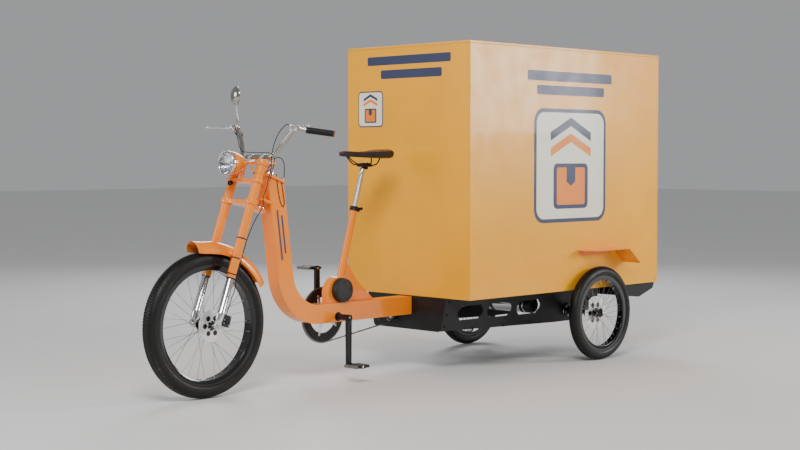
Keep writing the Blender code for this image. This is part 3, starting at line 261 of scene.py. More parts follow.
def metal(name, colour, roughness, stretch=None, grain=500.0, depth=0.00005):
    """Bare metal with fine scratches, drawn out along an axis when brushed."""
    made, tree, shader = shader_material(name, colour, roughness, 1.0)
    scratch = noise(tree, grain, 3.0, stretch)
    tree.links.new(spread(tree, scratch, roughness * 0.7, roughness * 1.5), shader.inputs["Roughness"])
    tone = ramp(tree, noise(tree, 12.0, 4.0), [(0.3, shade(colour, 0.86)), (0.7, colour)])
    tree.links.new(tone, shader.inputs["Base Color"])
    bump(tree, shader, scratch, depth, 0.6)
    return made


def rubber(name, colour, roughness=0.62):
    """Moulded rubber: matt, dusty, with a fine skin."""
    made, tree, shader = shader_material(name, colour, roughness)
    dust = ramp(tree, noise(tree, 22.0, 6.0), [(0.3, colour), (0.8, shade(colour, 1.9))])
    tree.links.new(dust, shader.inputs["Base Color"])
    tree.links.new(spread(tree, noise(tree, 40.0), roughness * 0.85, roughness * 1.2), shader.inputs["Roughness"])
    shader.inputs["Specular IOR Level"].default_value = 0.32
    bump(tree, shader, noise(tree, 1100.0, 3.0), 0.0002)
    return made


def hide(name, colour, roughness=0.38):
    """Saddle leather: pebbled grain, creases and polished wear."""
    made, tree, shader = shader_material(name, colour, roughness)
    place = tree.nodes.new("ShaderNodeTexCoord")
    pebble = tree.nodes.new("ShaderNodeTexVoronoi")
    pebble.feature = "DISTANCE_TO_EDGE"
    pebble.inputs["Scale"].default_value = 520.0
    tree.links.new(place.outputs["Object"], pebble.inputs["Vector"])
    worn = ramp(tree, noise(tree, 16.0, 6.0),
                [(0.25, shade(colour, 0.55)), (0.55, colour), (0.8, shade(colour, 1.9))])
    tree.links.new(worn, shader.inputs["Base Color"])
    tree.links.new(spread(tree, noise(tree, 30.0), roughness * 0.7, roughness * 1.4), shader.inputs["Roughness"])
    crease = bump(tree, shader, noise(tree, 60.0, 6.0), 0.0006, 0.5)
    bump(tree, shader, pebble.outputs["Distance"], 0.0004, 0.8, crease)
    return made


def clear_glass(name):
    made, tree, shader = shader_material(name, (0.97, 0.98, 1.0), 0.03)
    shader.inputs["Transmission Weight"].default_value = 1.0
    shader.inputs["IOR"].default_value = 1.45
    wave = tree.nodes.new("ShaderNodeTexWave")
    place = tree.nodes.new("ShaderNodeTexCoord")
    wave.inputs["Scale"].default_value = 60.0
    tree.links.new(place.outputs["Object"], wave.inputs["Vector"])
    bump(tree, shader, wave.outputs["Fac"], 0.0006, 0.5)
    return made


MATERIALS = {}


def build_materials(colours):
    """Every finish on the tricycle, by a short name."""
    black = tuple(colours.black)
    MATERIALS.update({
        "paint": enamel("frame_enamel", tuple(colours.frame_paint), 0.24, 0.45),
        "lacquer": enamel("box_lacquer", tuple(colours.box_paint), 0.34, 0.12, 0.00006),
        "ink": enamel("sign_ink", tuple(colours.ink), 0.42, 0.1, 0.00005),
        "cream": enamel("sign_cream", tuple(colours.cream), 0.42, 0.1, 0.00005),
        "sign_orange": enamel("sign_orange", (0.9, 0.24, 0.012), 0.42, 0.1, 0.00005),
        "coat": powder_coat("black_powder_coat", black),
        "gloss_black": enamel("rim_anodising", (0.004, 0.004, 0.005), 0.12, 0.5, 0.00003),
        "tyre": rubber("tyre_rubber", (0.0055, 0.0052, 0.0048), 0.44),
        "grip": rubber("grip_rubber", (0.01, 0.01, 0.011), 0.5),
        "plastic": powder_coat("moulded_plastic", (0.014, 0.014, 0.015), 0.36),
        "chrome": metal("polished_chrome", (0.82, 0.82, 0.84), 0.07, None, 300.0, 0.00001),
        "bar_chrome": metal("smoked_chrome", (0.46, 0.45, 0.43), 0.1, None, 300.0, 0.00001),
        "steel": metal("brushed_steel", (0.66, 0.66, 0.67), 0.26, (1.0, 14.0, 14.0)),
        "rotor": metal("brake_rotor_steel", (0.86, 0.85, 0.82), 0.48, (1.0, 30.0, 30.0), 260.0, 0.00008),
        "zinc": metal("zinc_screws", (0.6, 0.6, 0.6), 0.3),
        "dark_steel": metal("oiled_chain_steel", (0.24, 0.23, 0.22), 0.34),
        "spoke": metal("spoke_steel", (0.3, 0.3, 0.31), 0.28),
        "leather": hide("saddle_leather", tuple(colours.leather)),
        "side_leather": hide("saddle_side_leather", (0.011, 0.01, 0.01), 0.42),
        "glass": clear_glass("lamp_glass"),
        "mirror": metal("mirror_silver", (0.86, 0.88, 0.9), 0.02, None, 20.0, 0.000001),
        "endcap": rubber("grip_end_rubber", (0.16, 0.02, 0.01), 0.5),
    })


# ---------------------------------------------------------------- mesh tools
def tidy(bm):
    bmesh.ops.remove_doubles(bm, verts=bm.verts, dist=1e-6)
    bmesh.ops.recalc_face_normals(bm, faces=bm.faces)
    return bm


def placed(bm, matrix):
    bmesh.ops.transform(bm, matrix=matrix, verts=bm.verts)
    return bm


def block(low, high):
    bm = bmesh.new()
    bmesh.ops.create_cube(bm, size=1)
    low, high = Vector(low), Vector(high)
    scale = Matrix.Diagonal((*(high - low), 1))
    return placed(bm, Matrix.Translation((low + high) / 2) @ scale)


def prism(outline, low, high, axis="X"):
    """An outline pushed along one axis; its points are the other two axes, in order."""
    orders = {"X": (2, 0, 1), "Y": (0, 2, 1), "Z": (0, 1, 2)}

    def point(pair, depth):
        values = (*pair, depth)
        return [values[i] for i in orders[axis]]

    bm = bmesh.new()
    face = bm.faces.new([bm.verts.new(point(p, low)) for p in outline])
    pushed = bmesh.ops.extrude_face_region(bm, geom=[face])
    new = [v for v in pushed["geom"] if isinstance(v, bmesh.types.BMVert)]
    bmesh.ops.translate(bm, verts=new, vec=point((0, 0), high - low))
    return tidy(bm)


def turned(profile, centre, axis, steps=48, ring=False):
    """A (radius, height) profile turned about an axis."""
    bm = bmesh.new()
    loops = []
    for radius, height in profile:
        if radius < 1e-6:
            loops.append([bm.verts.new((0, 0, height))])
            continue
        turns = [2 * math.pi * i / steps for i in range(steps)]
        loops.append([bm.verts.new((radius * math.cos(a), radius * math.sin(a), height)) for a in turns])
    pairs = list(zip(loops, loops[1:]))
    if ring:
        pairs.append((loops[-1], loops[0]))
    for one, two in pairs:
        if len(one) == len(two) == 1:
            continue
        for i in range(steps):
            j = (i + 1) % steps
            if len(one) == 1:
                bm.faces.new((one[0], two[j], two[i]))
            elif len(two) == 1:
                bm.faces.new((one[i], one[j], two[0]))
            else:
                bm.faces.new((one[i], one[j], two[j], two[i]))
    turn = Vector(axis).to_track_quat("Z", "Y").to_matrix().to_4x4()
    return tidy(placed(bm, Matrix.Translation(centre) @ turn))


def rod(start, end, radius, steps=32):
    """A round bar with softened ends."""
    start, end = Vector(start), Vector(end)
    length = (end - start).length
    soft = min(radius * 0.12, length * 0.4)
    profile = [(0, 0), (radius - soft, 0), (radius - soft * 0.3, soft * 0.3), (radius, soft),
               (radius, length - soft), (radius - soft * 0.3, length - soft * 0.3), (radius - soft, length),
               (0, length)]
    return turned(profile, start, end - start, steps)


def swept(path, radius, steps=16, closed=False):
    """A round bar along a path. radius may be a number or a function of the share along it."""
    points = [Vector(p) for p in path]
    bm = bmesh.new()
    side = None
    rings = []
    count = len(points)
    for i, point in enumerate(points):
        if closed:
            ahead = points[(i + 1) % count] - points[i - 1]
        else:
            ahead = points[min(i + 1, count - 1)] - points[max(i - 1, 0)]
        ahead.normalize()
        side = ahead.orthogonal() if side is None else side - ahead * side.dot(ahead)
        side.normalize()
        other = ahead.cross(side)
        thick = radius(i / (count - 1)) if callable(radius) else radius
        ring = []
        for k in range(steps):
            a = 2 * math.pi * k / steps
            ring.append(bm.verts.new(point + thick * (math.cos(a) * side + math.sin(a) * other)))
        rings.append(ring)
    pairs = list(zip(rings, rings[1:]))
    if closed:
        pairs.append((rings[-1], rings[0]))
    for one, two in pairs:
        for k in range(steps):
            m = (k + 1) % steps
            bm.faces.new((one[k], one[m], two[m], two[k]))
    if not closed:
        bm.faces.new(rings[0])
        bm.faces.new(rings[-1])
    bmesh.ops.recalc_face_normals(bm, faces=bm.faces)
    return bm


def smooth_path(points, steps=8):
    points = [Vector(p) for p in points]
    padded = [2 * points[0] - points[1]] + points + [2 * points[-1] - points[-2]]
    path = []
    for a, b, c, d in zip(padded, padded[1:], padded[2:], padded[3:]):
        for k in range(steps):
            t = k / steps
            path.append(0.5 * (2 * b + (c - a) * t + (2 * a - 5 * b + 4 * c - d) * t ** 2
                               + (3 * b - a - 3 * c + d) * t ** 3))
    return path + [points[-1]]


def oblong(low, high):
    """The corners of a rectangle, or half the section of a plain disc or ring."""
    return [low, (high[0], low[1]), high, (low[0], high[1])]


def arc(centre, radius, start, end, steps):
    turns = [start + (end - start) * i / steps for i in range(steps + 1)]
    return [(centre[0] + radius * math.cos(a), centre[1] + radius * math.sin(a)) for a in turns]


def merged(*shapes):
    """Several shapes as one mesh."""
    whole = bmesh.new()
    for shape in shapes:
        mesh = bpy.data.meshes.new("part")
        shape.to_mesh(mesh)
        shape.free()
        whole.from_mesh(mesh)
        bpy.data.meshes.remove(mesh)
    return whole


def new_object(name, bm, material):
    mesh = bpy.data.meshes.new(name)
    bm.to_mesh(mesh)
    bm.free()
    made = bpy.data.objects.new(name, mesh)
    mesh.materials.append(material)
    bpy.context.scene.collection.objects.link(made)
    return made


def settle(obj):
    """Turns an object's modifiers into its plain mesh."""
    graph = bpy.context.evaluated_depsgraph_get()
    mesh = bpy.data.meshes.new_from_object(obj.evaluated_get(graph))
    old = obj.data
    obj.modifiers.clear()
    obj.data = mesh
    mesh.name = obj.name
    bpy.data.meshes.remove(old)
    return obj


def boolean(obj, operation, shapes):
    """Joins shapes to an object or cuts them out of it."""
    for shape in shapes:
        tool = new_object("tool", shape, obj.data.materials[0])
        change = obj.modifiers.new("change", "BOOLEAN")
        change.operation = operation
        change.solver = "EXACT"
        change.object = tool
        settle(obj)
        bpy.data.objects.remove(tool)
    return obj


def dress(obj, body, replaces=(), bevel=0.0, segments=3, angle=35):
    """Rounds the edges, shades the piece and hands it to its body."""
    if bevel:
        tool = obj.modifiers.new("rounding", "BEVEL")
        tool.width = bevel
        tool.segments = segments
        tool.limit_method = "ANGLE"
        tool.angle_limit = math.radians(40)
        settle(obj)
    obj.data.shade_smooth()
    obj.data.set_sharp_from_angle(angle=math.radians(angle))
    if bevel:
        weighted = obj.modifiers.new("weighted", "WEIGHTED_NORMAL")
        weighted.keep_sharp = True
        settle(obj)
    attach(obj, body)
    if replaces:
        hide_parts(*([replaces] if isinstance(replaces, str) else replaces))
    return obj


def piece(name, bm, finish, body, replaces=(), bevel=0.0, segments=3, angle=35, cuts=(), adds=()):
    made = new_object(name, bm, MATERIALS[finish])
    boolean(made, "UNION", adds)
    boolean(made, "DIFFERENCE", cuts)
    return dress(made, body, replaces, bevel, segments, angle)


def soften(node, finish, bevel, segments=2, name=None):
    """A copy of a CAD node with its doubles merged, its flats whole and its edges rounded."""
    source = frame["nodes"][node]
    bm = bmesh.new()
    bm.from_mesh(source.data)
    bmesh.ops.remove_doubles(bm, verts=bm.verts, dist=1e-5)
    bmesh.ops.dissolve_limit(bm, angle_limit=math.radians(1), verts=bm.verts, edges=bm.edges)
    body = source["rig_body"]
    return piece(name or f"{node}_skin", bm, finish, body, node, bevel, segments)


# ---------------------------------------------------------------- node trees for what repeats
def start_tree(name, sockets):
    tree = bpy.data.node_groups.new(name, "GeometryNodeTree")
    tree.interface.new_socket("Geometry", in_out="INPUT", socket_type="NodeSocketGeometry")
    for label, kind, value in sockets:
        made = tree.interface.new_socket(label, in_out="INPUT", socket_type=kind)
        if value is not None:
            made.default_value = value
    tree.interface.new_socket("Geometry", in_out="OUTPUT", socket_type="NodeSocketGeometry")
    return tree, tree.nodes.new("NodeGroupInput"), tree.nodes.new("NodeGroupOutput")


def end_tree(tree, source, given, out):
    """Every tree ends in real geometry with its finish on it."""
    real = tree.nodes.new("GeometryNodeRealizeInstances")
    finish = tree.nodes.new("GeometryNodeSetMaterial")
    tree.links.new(source, real.inputs["Geometry"])
    tree.links.new(real.outputs["Geometry"], finish.inputs["Geometry"])
    tree.links.new(given.outputs["Finish"], finish.inputs["Material"])
    tree.links.new(finish.outputs["Geometry"], out.inputs["Geometry"])
    return tree


def ring_tree():
    """Copies the incoming shape round the X axis, then moves the ring to its centre."""
    tree, given, out = start_tree("Ring Pattern", (
        ("Count", "NodeSocketInt", 8), ("Turn", "NodeSocketRotation", None),
        ("Centre", "NodeSocketVector", (0, 0, 0)), ("Finish", "NodeSocketMaterial", None)))
    add, link = tree.nodes.new, tree.links.new
    points = add("GeometryNodePoints")
    index = add("GeometryNodeInputIndex")
    share = add("ShaderNodeMath")
    share.operation = "DIVIDE"
    angle = add("ShaderNodeMath")
    angle.operation = "MULTIPLY"
    angle.inputs[1].default_value = 2 * math.pi
    turn = add("ShaderNodeCombineXYZ")
    copies = add("GeometryNodeInstanceOnPoints")
    move = add("GeometryNodeTransform")
    link(given.outputs["Count"], points.inputs["Count"])
    link(index.outputs[0], share.inputs[0])
    link(given.outputs["Count"], share.inputs[1])
    link(share.outputs[0], angle.inputs[0])
    link(angle.outputs[0], turn.inputs["X"])
    link(points.outputs[0], copies.inputs["Points"])
    link(given.outputs["Geometry"], copies.inputs["Instance"])
    link(turn.outputs["Vector"], copies.inputs["Rotation"])
    link(copies.outputs[0], move.inputs["Geometry"])
    link(given.outputs["Turn"], move.inputs["Rotation"])
    link(given.outputs["Centre"], move.inputs["Translation"])
    return end_tree(tree, move.outputs[0], given, out)


def path_tree(pivot="AUTO"):
    """Copies a shape along a curve, its Y axis along the curve."""
    tree, given, out = start_tree("Path Pattern", (
        ("Path", "NodeSocketObject", None), ("Count", "NodeSocketInt", 10),
        ("Finish", "NodeSocketMaterial", None)))
    add, link = tree.nodes.new, tree.links.new
    path = add("GeometryNodeObjectInfo")
    even = add("GeometryNodeResampleCurve")
    tangent = add("GeometryNodeInputTangent")
    aim = add("FunctionNodeAlignRotationToVector")
    aim.axis = "Y"
    aim.pivot_axis = pivot
    copies = add("GeometryNodeInstanceOnPoints")
    link(given.outputs["Path"], path.inputs["Object"])
    link(path.outputs["Geometry"], even.inputs["Curve"])
    link(given.outputs["Count"], even.inputs["Count"])
    link(tangent.outputs[0], aim.inputs["Vector"])
    link(even.outputs[0], copies.inputs["Points"])
    link(given.outputs["Geometry"], copies.inputs["Instance"])
    link(aim.outputs[0], copies.inputs["Rotation"])
    return end_tree(tree, copies.outputs[0], given, out)


def spot_tree():
    """Copies the incoming shape onto every point of another mesh, facing its normal."""
    tree, given, out = start_tree("Spot Pattern", (
        ("Spots", "NodeSocketObject", None), ("Finish", "NodeSocketMaterial", None)))
    add, link = tree.nodes.new, tree.links.new
    spots = add("GeometryNodeObjectInfo")
    facing = add("GeometryNodeInputNamedAttribute")
    facing.data_type = "FLOAT_VECTOR"
    facing.inputs["Name"].default_value = "facing"
    aim = add("FunctionNodeAlignRotationToVector")
    aim.axis = "Z"
    copies = add("GeometryNodeInstanceOnPoints")
    link(given.outputs["Spots"], spots.inputs["Object"])
    link(facing.outputs["Attribute"], aim.inputs["Vector"])
    link(spots.outputs["Geometry"], copies.inputs["Points"])
    link(given.outputs["Geometry"], copies.inputs["Instance"])
    link(aim.outputs[0], copies.inputs["Rotation"])
    return end_tree(tree, copies.outputs[0], given, out)


TREES = {}


def patterned(name, shape, tree, finish, **values):
    """An object made by a node tree from one shape, as a plain mesh."""
    if tree not in TREES:
        makers = {"ring": ring_tree, "path": path_tree, "chain": lambda: path_tree("X"), "spot": spot_tree}
        TREES[tree] = makers[tree]()
    made = new_object(name, shape, MATERIALS[finish])
    tool = made.modifiers.new("pattern", "NODES")
    tool.node_group = TREES[tree]
    values["Finish"] = MATERIALS[finish]
    for item in TREES[tree].interface.items_tree:
        if item.item_type == "SOCKET" and item.in_out == "INPUT" and item.name in values:
            tool[item.identifier] = values[item.name]
    return settle(made)


def towards(direction):
    """The turn that takes the X axis to a direction, as three angles."""
    return tuple(ALONG_X.rotation_difference(Vector(direction)).to_euler())


def ring_of(name, shape, finish, body, count, centre, axis=(1, 0, 0), angle=35, replaces=(), turn=None):
    made = patterned(name, shape, "ring", finish, Count=count, Turn=turn or towards(axis),
                     Centre=tuple(centre))
    return dress(made, body, replaces, 0.0, 2, angle)


def along(name, shape, finish, body, path, count, tree="path", closed=False, angle=35, replaces=()):
    """Copies of a shape evenly spaced along a path."""
    curve = bpy.data.curves.new("route", "CURVE")
    curve.dimensions = "3D"
    spline = curve.splines.new("POLY")
    spline.points.add(len(path) - 1)
    for target, point in zip(spline.points, path):
        target.co = (*point, 1)
    spline.use_cyclic_u = closed
    holder = bpy.data.objects.new("route", curve)
    bpy.context.scene.collection.objects.link(holder)
    made = patterned(name, shape, tree, finish, Path=holder, Count=count)
    bpy.data.objects.remove(holder)
    return dress(made, body, replaces, 0.0, 2, angle)


def spots_of(name, shape, finish, body, spots, angle=35):
    """Copies of a shape at points; spots is a list of (point, facing)."""
    mesh = bpy.data.meshes.new("spots")
    mesh.from_pydata([tuple(p) for p, _ in spots], [], [])
    attribute = mesh.attributes.new("facing", "FLOAT_VECTOR", "POINT")
    for item, (_, facing) in zip(attribute.data, spots):
        item.vector = facing
    holder = bpy.data.objects.new("spots", mesh)
    bpy.context.scene.collection.objects.link(holder)
    made = patterned(name, shape, "spot", finish, Spots=holder)
    bpy.data.objects.remove(holder)
    return dress(made, body, (), 0.0, 2, angle)


def screw_head(radius, height=None):
    """A domed head with a hexagon socket, standing on the XY plane."""
    height = height or radius * 0.6
    dome = [(0, height * 0.45), (radius * 0.45, height * 0.45), (radius * 0.52, height * 0.98),
            (radius * 0.72, height * 0.9), (radius * 0.92, height * 0.6), (radius, height * 0.15),
            (radius, -height * 0.2), (0, -height * 0.2)]
    return turned(dome, (0, 0, 0), UP, 12)


def hex_head(radius, height):
    washer = turned(oblong((0, 0), (radius * 1.35, height * 0.2)),
                    (0, 0, 0), UP, 18)
    nut = turned([(0, height * 0.2), (radius, height * 0.2), (radius, height * 0.85),
                  (radius * 0.86, height), (0, height)], (0, 0, 0), UP, 6)
    return merged(washer, nut)


# ---------------------------------------------------------------- shared shapes
def rounded(low, high, radius, steps=8):
    """A rectangle's outline with round corners."""
    outline = []
    corners = ((high[0] - radius, high[1] - radius, 0), (low[0] + radius, high[1] - radius, 1),
               (low[0] + radius, low[1] + radius, 2), (high[0] - radius, low[1] + radius, 3))
    for x, y, quarter in corners:
        outline += arc((x, y), radius, quarter * math.pi / 2, (quarter + 1) * math.pi / 2, steps)
    return outline


def capsule(one, one_radius, two, two_radius, steps=20):
    """The outline of a belt round two circles."""
    run = Vector(two) - Vector(one)
    tilt = math.atan2(run.y, run.x)
    lean = math.acos((one_radius - two_radius) / run.length)
    near = arc(one, one_radius, tilt + lean, tilt + 2 * math.pi - lean, steps)
    return near + arc(two, two_radius, tilt - lean, tilt + lean, steps)


def stood(bm, degrees, place=(0, 0, 0)):
    """Turns a shape about the Y axis, then moves it to its place."""
    return placed(bm, Matrix.Translation(place) @ Matrix.Rotation(math.radians(degrees), 4, "Y"))


def raked(bm):
    return placed(bm, RAKED)


def mirrored(point, way):
    return Vector((way * point[0], point[1], point[2]))


def weld(name, path, body, radius=0.0022, closed=False):
    """A welded seam: small overlapping scales along a path."""
    length = sum((Vector(b) - Vector(a)).length for a, b in zip(path, path[1:]))
    scale = turned([(0, -radius), (radius * 0.8, -radius * 0.6), (radius, 0), (radius * 0.8, radius * 0.6),
                    (0, radius)], (0, 0, 0), ALONG_Y, 7)
    return along(name, scale, "paint", body, path, max(4, int(length / (radius * 1.1))), closed=closed)


# ---------------------------------------------------------------- operators
class TrikeOperator:
    """Shared settings of the operators."""
    bl_options = {"REGISTER", "UNDO"}


class TRIKE_OT_finishes(TrikeOperator, bpy.types.Operator):
    """Build every paint, metal, rubber and leather finish"""
    bl_idname = "trike.finishes"
    bl_label = "Finishes"

    def execute(self, context):
        build_materials(context.scene.trike_colours)
        return {"FINISHED"}


class TRIKE_OT_stage(TrikeOperator, bpy.types.Operator):
    """Pale floor, soft studio light and the camera"""
    bl_idname = "trike.stage"
    bl_label = "Stage"

    def lamp(self, name, place, aim, size, power, colour):
        data = bpy.data.lights.new(name, "AREA")
        data.shape = "RECTANGLE"
        data.size, data.size_y = size
        data.energy = power
        data.color = colour
        made = bpy.data.objects.new(name, data)
        made.location = place
        made.rotation_euler = (Vector(place) - Vector(aim)).to_track_quat("Z", "Y").to_euler()
        bpy.context.scene.collection.objects.link(made)

    def execute(self, context):
        scene = context.scene
        pale, tree, shader = shader_material("studio_floor", (0.8, 0.8, 0.79), 0.6)
        grain = ramp(tree, noise(tree, 1.5), [(0.3, (0.79, 0.79, 0.785)), (0.7, (0.81, 0.81, 0.805))])
        tree.links.new(grain, shader.inputs["Base Color"])
        floor = new_object("studio_floor", block((-40, -40, -0.05), (40, 40, -0.0003)), pale)

        world = bpy.data.worlds.new("studio_world")
        world.use_nodes = True
        world.node_tree.nodes["Background"].inputs["Color"].default_value = (0.93, 0.94, 0.96, 1)
        world.node_tree.nodes["Background"].inputs["Strength"].default_value = 0.38
        scene.world = world
        lamps = (
            ("key", (3.8, -4.6, 5.2), (0, -0.3, 0.7), (2.6, 2.0), 345, (1.0, 0.98, 0.95)),
            ("front_fill", (-3.0, -6.5, 2.6), (0, -0.5, 0.8), (3.0, 3.0), 125, (1, 1, 1)),
            ("sheen", (4.6, 5.0, 2.15), (0.466, 0.1, 1.5), (1.8, 1.5), 210, (1, 1, 1)),
            ("rim", (-4.5, 4.5, 4.0), (0, 0, 1.0), (3.0, 2.0), 160, (0.95, 0.97, 1.0)))
        for lamp in lamps:
            self.lamp(*lamp)

        camera_data = bpy.data.cameras.new("camera")
        camera_data.lens = 66.5
        camera_data.sensor_width = 36.0
        camera_data.clip_end = 200
        camera = bpy.data.objects.new("camera", camera_data)
        camera.location = (5.6575, -5.7395, 1.1591)
        camera.rotation_euler = (math.radians(90 - 2.614), 0, math.radians(44.8))
        scene.collection.objects.link(camera)
        scene.camera = camera
        return {"FINISHED"}


class TRIKE_OT_wheels(TrikeOperator, bpy.types.Operator):
    """Tyres, laced rims, hubs and brake rotors of all three wheels"""
    bl_idname = "trike.wheels"
    bl_label = "Wheels"

    def tyre(self, name, body, centre, radius, width, seat, sizes):
        half = width / 2
        tread = sizes.tread_height
        rise = radius - tread - seat
        low_share = 0.45
        middle_radius = seat + rise * low_share
        bead = math.radians(138)

        def section(turn):
            """(radius, x) of the casing at an angle from the crown."""
            x = half * math.copysign(abs(math.sin(turn)) ** 0.93, turn)
            up = math.cos(turn)
            if up > 0:
                out = middle_radius + rise * (1 - low_share) * up ** 0.92
            else:
                out = middle_radius + rise * low_share * up / -math.cos(bead)
            ribbed = max(0.0, math.sin(abs(turn) * 22)) if math.radians(62) < abs(turn) < bead * 0.92 else 0
            return out, x + math.copysign(0.0006 * ribbed, turn)

        count = 88
        profile = [section(-bead + 2 * bead * i / count) for i in range(count + 1)]
        profile = [(seat + 0.0004, profile[0][1] * 0.9)] + profile + [(seat + 0.0004, profile[-1][1] * 0.9)]
        piece(f"{name}_tyre_casing", turned(profile, centre, ALONG_X, 128, ring=True), "tyre", body,
              f"{name}_tyre", angle=50)

        # one zig-zag rib across the crown, copied round the tyre
        samples = 13
        reach = math.radians(72)
        thick = sizes.tread_pitch * 0.5
        bm = bmesh.new()
        rows = []
        for i in range(samples):
            share = 2 * i / (samples - 1) - 1
            out, x = section(share * reach)
            zig = sizes.tread_pitch * 0.85 * abs(((share * 2 + 1) % 2) - 1)
            top = out + tread * (1 if abs(share) < 0.8 else 0.55)
            row = []
            for high, along_y in ((out - 0.001, -thick / 2), (top, -thick * 0.36), (top, thick * 0.36),
                                  (out - 0.001, thick / 2)):
                a = (along_y + zig) / radius
                row.append(bm.verts.new((x, high * math.sin(a), high * math.cos(a))))
            rows.append(row)
        for one, two in zip(rows, rows[1:]):
            for k in range(4):
                m = (k + 1) % 4
                bm.faces.new((one[k], one[m], two[m], two[k]))
        bm.faces.new(rows[0])
        bm.faces.new(rows[-1])
        bmesh.ops.recalc_face_normals(bm, faces=bm.faces)
        ribs = round(2 * math.pi * radius / sizes.tread_pitch)
        ring_of(f"{name}_tread", bm, "tyre", body, ribs, centre, turn=(0, 0, 0))
        for way in (1, -1):
            line = section(math.radians(100) * way)
            bead_line = [(line[0] - 0.0015, line[1] - way * 0.0006), (line[0], line[1] + way * 0.0012),
                         (line[0] + 0.0015, line[1] - way * 0.0006)]
            piece(f"{name}_tyre_line_{'left' if way > 0 else 'right'}",
                  turned(bead_line, centre, ALONG_X, 96, ring=True), "tyre", body)

    def rim(self, name, body, centre, seat, width, flange, offset, flange_radius, sizes):
        half = width / 2
        one_side = [(seat - 0.0215, 0.3), (seat - 0.0222, 0.34), (seat - 0.0222, 0.82), (seat - 0.0205, 0.875),
                    (seat - 0.012, 0.95), (seat - 0.003, 1.0),
                    (seat + 0.0045, 1.0), (seat + 0.0056, 0.975), (seat + 0.0045, 0.945),
                    (seat - 0.0035, 0.93)]
        profile = [(r, -half * x) for r, x in one_side] + [(r, half * x) for r, x in one_side[::-1]]
        piece(f"{name}_rim", turned(profile, centre, ALONG_X, 144, ring=True), "gloss_black", body,
              f"{name}_wheel", bevel=0.0007, segments=2)

        # four spokes: both flanges, leading and trailing
        rim_inner = seat - 0.0215
        step = 2 * math.pi / (sizes.spokes * 4)
        spokes, nipples = [], []
        for i in range(4):
            side = 1 if i % 2 else -1
            lean = 1 if i < 2 else -1
            rim_turn = i * step
            hub_turn = rim_turn + lean * math.radians(52)
            start = Vector((offset + side * flange, flange_radius * math.sin(hub_turn),
                            flange_radius * math.cos(hub_turn)))
            end = Vector((side * 0.004, rim_inner * math.sin(rim_turn), rim_inner * math.cos(rim_turn)))
            run = (end - start).normalized()
            spokes.append(turned([(0, 0), (sizes.spoke_radius, 0), (sizes.spoke_radius, (end - start).length),
                                  (0, (end - start).length)], start, run, 6))
            head = turned([(0, -0.001), (0.0024, -0.0005), (0.0024, 0.0008), (0, 0.0014)],
                          start, ALONG_X * side, 6)
            spokes.append(head)
            nipples.append(turned([(0, 0), (0.0016, 0), (0.0022, 0.003), (0.0022, 0.014), (0, 0.014)],
                                  end - run * 0.012, run, 8))
        ring_of(f"{name}_spokes", merged(*spokes), "spoke", body, sizes.spokes, centre, turn=(0, 0, 0))
        ring_of(f"{name}_nipples", merged(*nipples), "zinc", body, sizes.spokes, centre, turn=(0, 0, 0))

    def hub(self, name, body, centre, flange, offset, flange_radius, ends, bore):
        low, high = ends
        left, right = offset + flange, offset - flange
        profile = [(bore, low), (0.0125, low), (0.0135, low + 0.002), (0.0135, right - 0.01),
                   (0.0165, right - 0.006), (flange_radius + 0.003, right - 0.0016),
                   (flange_radius + 0.0038, right), (flange_radius + 0.003, right + 0.0016),
                   (0.0165, right + 0.006), (0.015, right + 0.011), (0.015, left - 0.011),
                   (0.0165, left - 0.006), (flange_radius + 0.003, left - 0.0016),
                   (flange_radius + 0.0038, left), (flange_radius + 0.003, left + 0.0016),
                   (0.0165, left + 0.006), (0.0135, left + 0.01), (0.0135, high - 0.002),
                   (0.0125, high), (bore, high)]
        piece(f"{name}_hub", turned(profile, centre, ALONG_X, 48, ring=True), "gloss_black", body, angle=30)

    @staticmethod
    def drill(at, radius, steps):
        """A cutter through the rotor."""
        return turned(oblong((0, -0.01), (radius, 0.01)), at, ALONG_X, steps)

    def rotor(self, name, body, centre, radius, x):
        at = centre + ALONG_X * x
        thin = 0.0011
        steps = 144
        wave = []
        for i in range(steps):
            a = 2 * math.pi * i / steps
            out = radius - 0.0014 * (1 + math.cos(a * 12)) / 2
            wave.append((at.y + out * math.cos(a), at.z + out * math.sin(a)))
        holes = [self.drill(at, 0.023, 48)]
        for count, rows, size, steps in ((6, (0.52,), radius * 0.165, 28),
                                         (30, (0.8, 0.855, 0.91), 0.0027, 10)):
            bits = []
            for i in range(count):
                a = 2 * math.pi * i / count
                row = radius * rows[i % len(rows)]
                bits.append(self.drill(at + Vector((0, row * math.cos(a), row * math.sin(a))), size, steps))
            holes.append(merged(*bits))
        piece(f"{name}_rotor_disc", prism(wave, at.x - thin, at.x + thin), "rotor", body, f"{name}_rotor",
              cuts=holes, angle=25)
        web = turned(oblong((0.0142, -0.0005), (radius * 0.72, 0.0005)),
                     at, ALONG_X, 64, ring=True)
        piece(f"{name}_rotor_web", web, "gloss_black", body)
        boss = turned([(0.0142, -0.0018), (0.0235, -0.0018), (0.0245, -0.001), (0.0245, 0.001),
                       (0.0235, 0.0018), (0.0142, 0.0018)], at, ALONG_X, 48, ring=True)
        piece(f"{name}_rotor_boss", boss, "gloss_black", body, angle=25)
        outward = 1 if x > 0 else -1
        bolt = screw_head(0.0034, 0.0022)
        stood(bolt, 90 * outward, (outward * 0.0018, 0, 0.0198))
        ring_of(f"{name}_rotor_bolts", bolt, "zinc", body, 6, at, turn=(0.3, 0, 0))

